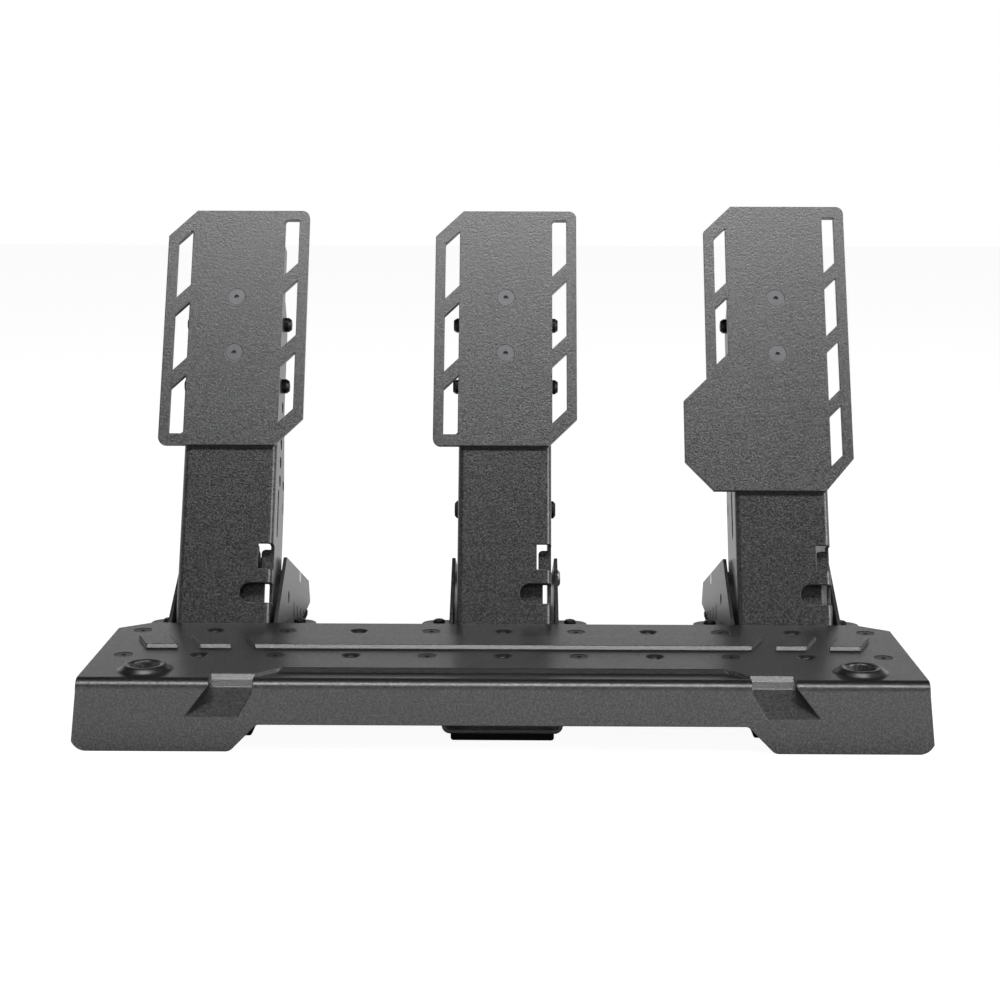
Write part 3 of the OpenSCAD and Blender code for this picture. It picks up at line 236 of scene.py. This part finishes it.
def soft_edges(tree, radius):
    """The normal with edges rounded, and how much of an edge each point is."""
    rounded = add(tree, "ShaderNodeBevel", {"Radius": radius}, samples=6).outputs["Normal"]
    flat = add(tree, "ShaderNodeNewGeometry").outputs["Normal"]
    same = add(tree, "ShaderNodeVectorMath", {0: rounded, 1: flat}, operation="DOT_PRODUCT").outputs["Value"]
    return rounded, ramp(tree, same, 0.98, 0.8, 0.0, 1.0)


def grey(tree, level, warmth=0.0):
    """A near-neutral colour from a number."""
    parts = [maths(tree, "MULTIPLY", level, k) for k in (1.0 + warmth, 1.0, 1.0 + 0.02 - warmth)]
    return joined(tree, parts)


def joined(tree, parts):
    """A colour from its red, green and blue."""
    return add(tree, "ShaderNodeCombineColor", {
        "Red": parts[0], "Green": parts[1], "Blue": parts[2]}).outputs[0]


def tinted(tree, shade, colour):
    """A colour made lighter or darker by a number."""
    return joined(tree, [maths(tree, "MULTIPLY", shade, part) for part in colour])


# Finishes

def powder_coat(name, tone, smooth_and_shaded_top=0.0, rough=0.52, shine=0.4, speckle=1.0):
    """Fine-textured powder coat with grain in colour and relief, and edges darkened in patches.

    A smooth top makes faces that look up smoother and glossier, and darkens their colour down to a fifth as
    painted shade.
    """
    coat = settings().coat
    material, tree, shader = new_material(name)
    coords = add(tree, "ShaderNodeTexCoord").outputs
    place = coords["Object"]
    fine = noise(tree, place, 0.6 / coat.grain, 1.0, 0.6)
    dust = noise(tree, place, 1.1 / coat.grain, 1.0, 0.5)
    patchy = noise(tree, place, 16.0, 3.0, 0.5)
    up = add(tree, "ShaderNodeSeparateXYZ", {"Vector": coords["Normal"]}).outputs["Z"]
    # faces that look up: made smoother, and darkened as painted shade
    up_smooth_and_shade = ramp(tree, up, 0.15, 0.5, 0.0, smooth_and_shaded_top)
    depth = maths(tree, "SUBTRACT", 1.0, up_smooth_and_shade)
    spots = coat.speckle * speckle
    grains = maths(tree, "ADD", ramp(tree, fine, 0.3, 0.7, -spots, spots),
                   ramp(tree, dust, 0.3, 0.7, -spots, spots))
    level = maths(tree, "MULTIPLY", maths(tree, "ADD", maths(tree, "MULTIPLY", grains, depth), 1.0), tone)
    level = maths(tree, "MAXIMUM", level, tone * 0.15)
    level = maths(tree, "MULTIPLY", level, ramp(tree, patchy, 0.3, 0.7, 0.94, 1.06))
    # painted shade: faces that look up are darkened down to a fifth
    level = maths(tree, "MULTIPLY", level, ramp(tree, up_smooth_and_shade, 0.0, 0.75, 1.0, 0.2))
    rounded, edge = soft_edges(tree, coat.edge)
    # edges darkened in patches of noise
    edge_patchiness = ramp(tree, noise(tree, place, 60.0, 3.0, 0.6), 0.5, 0.75, 0.75, 0.3)
    dark_edge_patches = maths(tree, "MULTIPLY", edge, edge_patchiness)
    level = maths(tree, "MULTIPLY", level, maths(tree, "SUBTRACT", 1.0, dark_edge_patches))
    height = maths(tree, "MULTIPLY", maths(tree, "ADD", fine, maths(tree, "MULTIPLY", dust, 0.6)), depth)
    bump = add(tree, "ShaderNodeBump", {
        "Strength": 1.0, "Distance": coat.grain * 0.15, "Height": height, "Normal": rounded}).outputs["Normal"]
    tree.links.new(grey(tree, level), shader.inputs["Base Color"])
    tree.links.new(bump, shader.inputs["Normal"])
    gloss = maths(tree, "MULTIPLY", up_smooth_and_shade, 0.22)
    roughness = maths(
        tree, "SUBTRACT", ramp(tree, fine, 0.3, 0.7, rough - 0.05, rough + 0.06), gloss, clamp=True)
    tree.links.new(roughness, shader.inputs["Roughness"])
    shader.inputs["Specular IOR Level"].default_value = shine
    return material


def worked_metal(name, colour, rough=0.35, brushed=400.0, edge_radius=0.0003, metallic=1.0):
    """Turned or drawn metal with fine tool marks and faint stains."""
    material, tree, shader = new_material(name)
    place = add(tree, "ShaderNodeTexCoord").outputs["Object"]
    stretched = add(tree, "ShaderNodeMapping", {"Vector": place, "Scale": (1.0, 6.0, 6.0)}).outputs["Vector"]
    marks = noise(tree, stretched, brushed, 3.0, 0.65)
    stain = noise(tree, place, 45.0, 3.0, 0.5)
    rounded, edge = soft_edges(tree, edge_radius)
    shade = maths(tree, "MULTIPLY", ramp(tree, marks, 0.3, 0.7, 0.9, 1.08),
                  ramp(tree, stain, 0.3, 0.7, 0.9, 1.06))
    shade = maths(tree, "ADD", shade, maths(tree, "MULTIPLY", edge, 0.3))
    tree.links.new(tinted(tree, shade, colour), shader.inputs["Base Color"])
    tree.links.new(ramp(tree, marks, 0.25, 0.75, rough - 0.08, rough + 0.1), shader.inputs["Roughness"])
    bump = add(tree, "ShaderNodeBump", {
        "Strength": 0.2, "Distance": 0.00003, "Height": marks, "Normal": rounded}).outputs["Normal"]
    tree.links.new(bump, shader.inputs["Normal"])
    shader.inputs["Metallic"].default_value = metallic
    return material


def moulded(name, colour, grain=2500.0, rough=0.6, relief=0.00004, shine=0.4):
    """Moulded plastic or rubber with a fine mould grain and patches of dust."""
    material, tree, shader = new_material(name)
    place = add(tree, "ShaderNodeTexCoord").outputs["Object"]
    skin = noise(tree, place, grain, 2.0, 0.6)
    dust = noise(tree, place, 70.0, 4.0, 0.6)
    rounded, edge = soft_edges(tree, 0.0004)
    shade = maths(tree, "MULTIPLY", ramp(tree, skin, 0.3, 0.7, 0.88, 1.12),
                  ramp(tree, dust, 0.35, 0.75, 0.95, 1.3))
    shade = maths(tree, "ADD", shade, maths(tree, "MULTIPLY", edge, 0.25))
    tree.links.new(tinted(tree, shade, colour), shader.inputs["Base Color"])
    tree.links.new(ramp(tree, dust, 0.3, 0.7, rough - 0.05, rough + 0.08), shader.inputs["Roughness"])
    bump = add(tree, "ShaderNodeBump", {
        "Strength": 0.35, "Distance": relief, "Height": skin, "Normal": rounded}).outputs["Normal"]
    tree.links.new(bump, shader.inputs["Normal"])
    shader.inputs["Specular IOR Level"].default_value = shine
    return material


def circuit_board():
    """Green solder mask with copper tracks showing through as a slightly lighter grid."""
    material, tree, shader = new_material("solder_mask")
    place = add(tree, "ShaderNodeTexCoord").outputs["Object"]
    tracks = add(tree, "ShaderNodeTexBrick", {
        "Vector": place, "Scale": 420.0, "Mortar Size": 0.06, "Brick Width": 0.9, "Row Height": 0.5,
        "Color1": (0.006, 0.07, 0.03, 1), "Color2": (0.006, 0.06, 0.028, 1), "Mortar": (0.02, 0.13, 0.06, 1)})
    tree.links.new(tracks.outputs["Color"], shader.inputs["Base Color"])
    rounded, _ = soft_edges(tree, 0.0002)
    bump = add(tree, "ShaderNodeBump", {
        "Strength": 0.3, "Distance": 0.00003, "Height": tracks.outputs["Fac"], "Normal": rounded,
    }).outputs["Normal"]
    tree.links.new(bump, shader.inputs["Normal"])
    shader.inputs["Roughness"].default_value = 0.35
    return material


def dress(node_names, material):
    """Gives CAD nodes one finish."""
    for name in node_names:
        mesh = NODES[name].data
        mesh.materials.clear()
        mesh.materials.append(material)


# Mesh helpers

def piece_from(mesh_maker, name, body, material, replaces=()):
    """Makes a mesh object from bmesh code, smooths it, and lets it ride on a body."""
    mesh = bpy.data.meshes.new(name)
    bm = bmesh.new()
    mesh_maker(bm)
    bmesh.ops.recalc_face_normals(bm, faces=bm.faces)
    for face in bm.faces:
        face.smooth = True
    bm.to_mesh(mesh)
    bm.free()
    mesh.materials.append(material)
    piece = bpy.data.objects.new(name, mesh)
    bpy.context.scene.collection.objects.link(piece)
    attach(piece, body)
    if replaces:
        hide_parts(*replaces)
    return piece


def sharpen(piece, angle=35.0):
    """Keeps creases crisp on a smooth-shaded piece."""
    bm = bmesh.new()
    bm.from_mesh(piece.data)
    limit = math.radians(angle)
    for edge in bm.edges:
        edge.smooth = len(edge.link_faces) == 2 and edge.calc_face_angle() < limit
    bm.to_mesh(piece.data)
    bm.free()


def rod_frame(pedal):
    """Matrix of a spring rod, Z along it from its upper pin, X across the pedal, and the pins' distance."""
    top = Vector(JOINTS[pedal + "_rod_pivot"]["pos_m"])
    low = Vector(JOINTS[pedal + "_trunnion_pivot"]["pos_m"])
    along = (low - top).normalized()
    across = Vector((1, 0, 0))
    turn = Matrix((across, along.cross(across), along)).transposed().to_4x4()
    return Matrix.Translation(top) @ turn, (low - top).length


def rings_to_faces(bm, rings, closed=False):
    """Skins rows of points into a tube."""
    rows = [[bm.verts.new(p) for p in ring] for ring in rings]
    count = len(rows[0])
    pairs = list(zip(rows, rows[1:] + rows[:1])) if closed else list(zip(rows, rows[1:]))
    for a, b in pairs:
        for j in range(count):
            k = (j + 1) % count
            bm.faces.new((a[j], a[k], b[k], b[j]))
    if not closed:
        bm.faces.new(rows[0][::-1])
        bm.faces.new(rows[-1])


def turned(bm, profile, place, steps=48):
    """Spins a closed profile of (radius, height) about the frame's Z axis."""
    rings = []
    for i in range(steps):
        a = 2 * math.pi * i / steps
        rings.append([place @ Vector((r * math.cos(a), r * math.sin(a), z)) for r, z in profile])
    rings_to_faces(bm, rings, closed=True)


def rounded_ring(inner, outer, low, high, corner, bulge=0.0, steps=4):
    """Closed profile of a washer or sleeve with rounded outer corners and a bulged side."""
    points = [(inner, low), (outer - corner, low)]
    for i in range(1, steps + 1):
        a = math.pi / 2 * i / steps
        points.append((outer - corner + corner * math.sin(a), low + corner - corner * math.cos(a)))
    points.append((outer + bulge, (low + high) / 2))
    for i in range(steps + 1):
        a = math.pi / 2 * i / steps
        points.append((outer - corner + corner * math.cos(a), high - corner + corner * math.sin(a)))
    points.append((inner, high))
    return points


# Operators, one for each group of pieces

class PEDALS_OT_stage(bpy.types.Operator):
    """Camera, lamps, floor and backdrop"""

    bl_idname = "pedals.stage"
    bl_label = "Stage"

    target = Vector((0, 0, 0.1))
    # half widths where the painted shadow that gloss sees starts and ends
    painted_shadow_x = (0.2, 0.25)
    painted_shadow_y = (0.15, 0.19)

    def execute(self, context):
        stage = settings().stage
        scene = context.scene
        scene.view_settings.view_transform = "Standard"
        camera = bpy.data.objects.new("photo_camera", bpy.data.cameras.new("photo_camera"))
        camera.data.lens = stage.lens
        camera.data.sensor_width = 36
        camera.data.clip_end = 50
        front = CAD_BOX[0].y
        aim = Matrix.Rotation(stage.turn, 4, "Z") @ Matrix.Rotation(math.pi / 2 - stage.tilt, 4, "X")
        place = Matrix.Translation((stage.aside, front - stage.distance, stage.height))
        camera.matrix_world = place @ aim @ Matrix.Rotation(stage.roll, 4, "Z")
        scene.collection.objects.link(camera)
        scene.camera = camera
        self.backdrop(scene, stage)
        self.floor(scene)
        self.lamp(scene, "front_lamp", (0.0, -2.2, 0.9), stage.front, 1.6, 0.8)
        self.lamp(scene, "upper_lamp", (0.0, -0.93, 2.1), stage.key, 1.8, 0.55)
        self.lamp(scene, "left_lamp", (-1.9, -0.5, 0.9), stage.left, 0.7, 1.2)
        self.lamp(scene, "right_lamp", (1.9, -0.7, 0.9), stage.right, 0.7, 1.2)
        return {"FINISHED"}

    def lamp(self, scene, name, place, power, width, height):
        """One soft rectangular lamp, aimed at the pedals, that the camera doesn't see."""
        data = bpy.data.lights.new(name, "AREA")
        data.energy = power
        data.shape = "RECTANGLE"
        data.size = width
        data.size_y = height
        lamp = bpy.data.objects.new(name, data)
        lamp.location = place
        lamp.rotation_euler = (self.target - lamp.location).to_track_quat("-Z", "Y").to_euler()
        lamp.visible_camera = False
        scene.collection.objects.link(lamp)

    def shown(self, tree):
        """1 for rays that show the background: from the camera, off gloss and through glass."""
        rays = add(tree, "ShaderNodeLightPath").outputs
        seen = maths(tree, "MAXIMUM", rays["Is Camera Ray"], rays["Is Glossy Ray"])
        return maths(tree, "MAXIMUM", seen, rays["Is Transmission Ray"])

    def backdrop(self, scene, stage):
        """White wall all round with a dark ceiling above it."""
        world = bpy.data.worlds.new("studio")
        scene.world = world
        world.use_nodes = True
        world.cycles.sampling_method = "NONE"
        tree = world.node_tree
        tree.nodes.clear()
        up = add(tree, "ShaderNodeSeparateXYZ", {
            "Vector": add(tree, "ShaderNodeTexCoord").outputs["Generated"]}).outputs["Z"]
        wall = maths(tree, "MULTIPLY", ramp(tree, up, 0.25, 0.35, 1.0, 0.1),
                     ramp(tree, up, 0.3, 0.6, 1.0, 0.2))
        seen = add(tree, "ShaderNodeBackground", {"Color": (1, 1, 1, 1), "Strength": wall})
        soft = add(tree, "ShaderNodeBackground", {"Color": (1, 1, 1, 1), "Strength": stage.fill})
        mixed = add(tree, "ShaderNodeMixShader", {
            0: self.shown(tree), 1: soft.outputs[0], 2: seen.outputs[0]})
        add(tree, "ShaderNodeOutputWorld", {"Surface": mixed.outputs[0]})

    def floor(self, scene):
        """Plain pale floor that keeps a soft shadow, and a painted shadow that gloss sees right under the object.
        """
        mesh = bpy.data.meshes.new("floor")
        bm = bmesh.new()
        bmesh.ops.create_grid(bm, x_segments=8, y_segments=8, size=6)
        bm.to_mesh(mesh)
        bm.free()
        floor = bpy.data.objects.new("floor", mesh)
        floor.location.z = -0.0002
        scene.collection.objects.link(floor)
        material = bpy.data.materials.new("pale_floor")
        material.use_nodes = True
        tree = material.node_tree
        tree.nodes.clear()
        matt = add(tree, "ShaderNodeBsdfDiffuse", {"Color": (0.2, 0.2, 0.2, 1)})
        spot = add(tree, "ShaderNodeSeparateXYZ", {
            "Vector": add(tree, "ShaderNodeTexCoord").outputs["Object"]}).outputs
        # painted shadow: under the object the floor's glow is hidden from gloss
        beside = ramp(tree, maths(tree, "ABSOLUTE", spot["X"]), *self.painted_shadow_x, 0.0, 1.0)
        ahead = ramp(tree, maths(tree, "ABSOLUTE", spot["Y"]), *self.painted_shadow_y, 0.0, 1.0)
        rays = add(tree, "ShaderNodeLightPath").outputs
        clear = maths(tree, "MAXIMUM", maths(tree, "MAXIMUM", beside, ahead), rays["Is Camera Ray"])
        strength = maths(tree, "MULTIPLY", maths(tree, "MULTIPLY", self.shown(tree), clear), 0.95)
        glow = add(tree, "ShaderNodeEmission", {"Color": (1, 1, 1, 1), "Strength": strength})
        both = add(tree, "ShaderNodeAddShader", {0: matt.outputs[0], 1: glow.outputs[0]})
        add(tree, "ShaderNodeOutputMaterial", {"Surface": both.outputs[0]})
        mesh.materials.append(material)


class PEDALS_OT_heel_plate(bpy.types.Operator):
    """Powder coat of the bent heel plate"""

    bl_idname = "pedals.heel_plate"
    bl_label = "Heel plate"

    def execute(self, context):
        coat = powder_coat(
            "heel_plate_coat", settings().coat.plate_tone, smooth_and_shaded_top=0.75, rough=0.5, shine=1.0)
        dress(["heel_plate"], coat)
        return {"FINISHED"}


class PEDALS_OT_channels(bpy.types.Operator):
    """Powder coat of the channels and their ears"""

    bl_idname = "pedals.channels"
    bl_label = "Channels and ears"

    def execute(self, context):
        coat = powder_coat("channel_coat", settings().coat.channel_tone, rough=0.4, shine=0.9, speckle=0.5)
        dress([pedal + "_channel" for pedal in PEDALS] + ["mounting_ears"], coat)
        return {"FINISHED"}


class PEDALS_OT_arms(bpy.types.Operator):
    """Powder coat of the arms and the brackets inside them"""

    bl_idname = "pedals.arms"
    bl_label = "Arms"

    def execute(self, context):
        coat = powder_coat("arm_coat", settings().coat.arm_tone, rough=0.34, shine=0.7, speckle=1.2)
        dress([pedal + end for pedal in PEDALS for end in ("_arm", "_plate_bracket")], coat)
        return {"FINISHED"}


class PEDALS_OT_foot_plates(bpy.types.Operator):
    """Powder coat of the foot plates"""

    bl_idname = "pedals.foot_plates"
    bl_label = "Foot plates"

    def execute(self, context):
        coat = powder_coat("foot_plate_coat", settings().coat.foot_tone, rough=0.35, shine=1.0, speckle=1.2)
        dress([pedal + "_foot_plate" for pedal in PEDALS], coat)
        return {"FINISHED"}


class PEDALS_OT_fasteners(bpy.types.Operator):
    """Screws, nuts, rivets, pins and spacers"""

    bl_idname = "pedals.fasteners"
    bl_label = "Fasteners"

    def execute(self, context):
        metal = settings().metal
        black = worked_metal("black_oxide", metal.black_tone, rough=0.42, brushed=900.0, metallic=0.6)
        # the foot plates' screws: black oxide made eight times lighter
        bright = worked_metal(
            "lighter_oxide", [8 * part for part in metal.black_tone], rough=0.4, metallic=0.5)
        dress(["heel_plate_screws", "plate_spacers", "ear_rivets", "ear_screws"], black)
        for pedal in PEDALS:
            dress([pedal + end for end in ("_side_bolts", "_rod_pin", "_rod_nut")], black)
            dress([pedal + "_plate_screws"], bright)
        dress(["heel_plate_nuts", "ear_nuts"], worked_metal("zinc_nuts", metal.zinc_tone, rough=0.38))
        return {"FINISHED"}


class PEDALS_OT_running_gear(bpy.types.Operator):
    """Shafts, bushes, rods, trunnions, magnets and the load cell"""

    bl_idname = "pedals.running_gear"
    bl_label = "Running gear"

    def execute(self, context):
        metal = settings().metal
        zinc = worked_metal("zinc_plate", metal.zinc_tone, rough=0.36, brushed=700.0)
        for pedal in PEDALS:
            dress([pedal + end for end in ("_pivot_shaft", "_spring_rod", "_trunnion", "_magnet")], zinc)
        dress(["brake_load_cell"], worked_metal("cell_steel", (0.4, 0.41, 0.43), rough=0.3, brushed=900.0))
        dress(["pivot_bushes"], worked_metal("sintered_bronze", metal.bronze_tone, rough=0.45, brushed=1200.0))
        return {"FINISHED"}


class PEDALS_OT_return_springs(bpy.types.Operator):
    """Wound return springs of the clutch and throttle"""

    bl_idname = "pedals.return_springs"
    bl_label = "Return springs"

    steps = 36
    sides = 14

    def execute(self, context):
        coil = settings().spring
        steel = worked_metal("spring_steel", settings().metal.black_tone, rough=0.34, brushed=1500.0, metallic=0.7)
        for pedal in ("clutch", "throttle"):
            place, span = rod_frame(pedal)
            length = span - coil.block - 0.0002 - coil.collar
            spring = piece_from(
                lambda bm: self.wind(bm, place, length, coil), pedal + "_spring_coil", pedal + "_rod",
                steel, [pedal + "_return_spring"])
            sharpen(spring, 50)
            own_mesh(spring)
        return {"FINISHED"}

    def wind(self, bm, place, length, coil):
        """One unbroken tube with closely wound end turns."""
        seat = coil.wire / 2 * math.sin(math.radians(60))
        close = coil.wire + 0.0006
        open_rise = (length - 2 * seat - 2 * close) / (coil.turns - 2)
        rings = []
        for i in range(coil.turns * self.steps + 1):
            s = i / self.steps
            rise = close if s < 1 or s > coil.turns - 1 else open_rise
            z = coil.collar + seat + min(s, 1) * close + max(0, min(s, coil.turns - 1) - 1) * open_rise
            z += max(0, s - coil.turns + 1) * close
            a = 2 * math.pi * s
            out = Vector((math.cos(a), math.sin(a), 0))
            slope = rise / (math.pi * coil.width)
            lift = Vector((slope * math.sin(a), -slope * math.cos(a), 1)).normalized()
            middle = out * coil.width / 2 + Vector((0, 0, z))
            rings.append([place @ (middle + coil.wire / 2 * (
                math.cos(b) * out + math.sin(b) * lift))
                for b in (2 * math.pi * j / self.sides for j in range(self.sides))])
        rings_to_faces(bm, rings)


class PEDALS_OT_rubber_parts(bpy.types.Operator):
    """Rubber pads, bump sleeves and the brake's ring stack"""

    bl_idname = "pedals.rubber_parts"
    bl_label = "Rubber parts"

    def execute(self, context):
        rubber = moulded("black_rubber", (0.008, 0.008, 0.008), grain=1800.0, rough=0.72, shine=0.15)
        coil = settings().spring
        self.pads(rubber)
        for pedal in ("clutch", "throttle"):
            self.sleeve(pedal, rubber)
        self.brake_stack(coil, rubber)
        return {"FINISHED"}

    def pads(self, rubber):
        """Six ribbed pads, each on the place of a plain one."""
        boxes = loose_boxes(NODES["foot_pads"].data)

        def make(bm):
            for a, b in boxes:
                self.ribbed_pad(bm, a, b)

        pads = piece_from(make, "ribbed_foot_pads", "base", rubber, ["foot_pads"])
        sharpen(pads, 30)

    def ribbed_pad(self, bm, a, b):
        """A pad with a rounded rim and grooves across its sole."""
        pitch = 0.005
        mouth, bottom, deep = 0.0008, 0.0005, 0.0009
        count = int((b.y - a.y - 0.004) / pitch)
        start = (a.y + b.y) / 2 - count * pitch / 2
        rim = 0.0012
        side = [(a.y, b.z), (a.y, a.z + rim), (a.y + rim * 0.3, a.z + rim * 0.3), (a.y + rim, a.z)]
        for i in range(count):
            y = start + i * pitch + pitch / 2
            side += [(y - mouth, a.z), (y - bottom, a.z + deep), (y + bottom, a.z + deep), (y + mouth, a.z)]
        side += [(b.y - rim, a.z), (b.y - rim * 0.3, a.z + rim * 0.3), (b.y, a.z + rim), (b.y, b.z)]
        middle = Vector((0, (a.y + b.y) / 2, b.z))
        rings = []
        for x, inset in ((a.x, 0.0009), (a.x + 0.0004, 0.0003), (a.x + 0.0012, 0.0),
                         (b.x - 0.0012, 0.0), (b.x - 0.0004, 0.0003), (b.x, 0.0009)):
            ring = []
            for y, z in side:
                toward = 1 if y < middle.y else -1
                ring.append(Vector((x, y + toward * inset * (abs(y - middle.y) > (b.y - a.y) / 2 - 0.002),
                                    z + (inset if z < a.z + 0.002 else 0))))
            rings.append(ring)
        rings_to_faces(bm, rings)

    def sleeve(self, pedal, rubber):
        """Bellied bump sleeve on the rod, inside the spring."""
        place, _ = rod_frame(pedal)
        local = place.inverted()
        heights = [(local @ v.co).z for v in NODES[pedal + "_bump_sleeve"].data.vertices]
        widths = [(local @ v.co).xy.length for v in NODES[pedal + "_bump_sleeve"].data.vertices]
        low, high, inner, outer = min(heights), max(heights), min(widths), max(widths)
        profile = [(inner, low), (outer - 0.0006, low)]
        rolls = 3
        for i in range(rolls * 8 + 1):
            t = i / (rolls * 8)
            z = low + 0.0004 + t * (high - low - 0.0008)
            profile.append((outer - 0.0006 + 0.0006 * abs(math.sin(math.pi * rolls * t)), z))
        profile += [(outer - 0.0006, high), (inner, high)]
        sleeve = piece_from(lambda bm: turned(bm, profile, place), pedal + "_bellied_sleeve",
                            pedal + "_rod", rubber, [pedal + "_bump_sleeve"])
        sharpen(sleeve, 40)

    def brake_stack(self, coil, rubber):
        """Rubber rings and washers between the collar and the load cell."""
        place, span = rod_frame("brake")
        washer = 0.0015
        count = 4
        length = span - coil.block - 0.0002 - coil.cell - coil.collar
        ring = (length - (count - 1) * washer) / count

        def rubber_rings(bm):
            for i in range(count):
                low = coil.collar + i * (ring + washer)
                turned(bm, rounded_ring(0.0043, 0.0094, low, low + ring, 0.0012, bulge=0.0006), place)

        def washers(bm):
            for i in range(1, count):
                low = coil.collar + i * (ring + washer) - washer
                turned(bm, rounded_ring(0.0042, 0.011, low, low + washer, 0.0004), place)

        steel = worked_metal("washer_zinc", settings().metal.zinc_tone, rough=0.33, brushed=900.0)
        stack = [
            piece_from(rubber_rings, "brake_rubber_stack", "brake_rod", rubber,
                       ["brake_rubber_rings"]),
            piece_from(washers, "brake_stack_washers", "brake_rod", steel,
                       ["brake_ring_washers"]),
        ]
        for piece in stack:
            sharpen(piece, 40)
            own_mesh(piece)


def loose_boxes(mesh):
    """Corners of each separate solid in a mesh."""
    bm = bmesh.new()
    bm.from_mesh(mesh)
    bmesh.ops.remove_doubles(bm, verts=bm.verts, dist=1e-6)
    left = set(bm.verts)
    found = []
    while left:
        stack = [left.pop()]
        island = list(stack)
        while stack:
            for edge in stack.pop().link_edges:
                for vert in edge.verts:
                    if vert in left:
                        left.remove(vert)
                        stack.append(vert)
                        island.append(vert)
        low = Vector([min(v.co[i] for v in island) for i in range(3)])
        high = Vector([max(v.co[i] for v in island) for i in range(3)])
        found.append((low, high))
    bm.free()
    return sorted(found, key=lambda pair: tuple(pair[0]))


class PEDALS_OT_electronics(bpy.types.Operator):
    """Sensor housings, control box, boards and data socket"""

    bl_idname = "pedals.electronics"
    bl_label = "Electronics"

    def execute(self, context):
        plastic = moulded("black_plastic", (0.016, 0.016, 0.017), grain=3000.0, rough=0.55)
        dress(["sensor_housings", "control_box", "control_box_lid"], plastic)
        dress(["sensor_boards", "control_board"], circuit_board())
        dress(["data_socket"], worked_metal("tin_shell", (0.62, 0.62, 0.64), rough=0.3, brushed=1500.0))
        return {"FINISHED"}


class PEDALS_PT_panel(bpy.types.Panel):
    """Lists the operators and their settings"""

    bl_idname = "PEDALS_PT_panel"
    bl_label = "Pedal set"
    bl_space_type = "VIEW_3D"
    bl_region_type = "UI"
    bl_category = "Pedals"

    def draw(self, context):
        for step in STEPS:
            self.layout.operator(step.bl_idname)
        for group in ("coat", "metal", "spring", "stage"):
            box = self.layout.box()
            values = getattr(context.scene.pedal_set, group)
            for name in values.__annotations__:
                box.prop(values, name)


GROUPS = (CoatSettings, MetalSettings, SpringSettings, StageSettings, PedalSetSettings)
STEPS = (
    PEDALS_OT_stage,
    PEDALS_OT_heel_plate,
    PEDALS_OT_channels,
    PEDALS_OT_arms,
    PEDALS_OT_foot_plates,
    PEDALS_OT_fasteners,
    PEDALS_OT_running_gear,
    PEDALS_OT_return_springs,
    PEDALS_OT_rubber_parts,
    PEDALS_OT_electronics,
)


def register():
    """Registers the settings, operators and panel."""
    for cls in GROUPS + STEPS + (PEDALS_PT_panel,):
        bpy.utils.register_class(cls)
    bpy.types.Scene.pedal_set = PointerProperty(type=PedalSetSettings)


def unregister():
    """Takes them away again."""
    del bpy.types.Scene.pedal_set
    for cls in reversed(GROUPS + STEPS + (PEDALS_PT_panel,)):
        bpy.utils.unregister_class(cls)


def main():
    """Dresses the whole pedal set."""
    register()
    for step in STEPS:
        group, name = step.bl_idname.split(".")
        getattr(getattr(bpy.ops, group), name)()


if __name__ == "__main__":
    main()
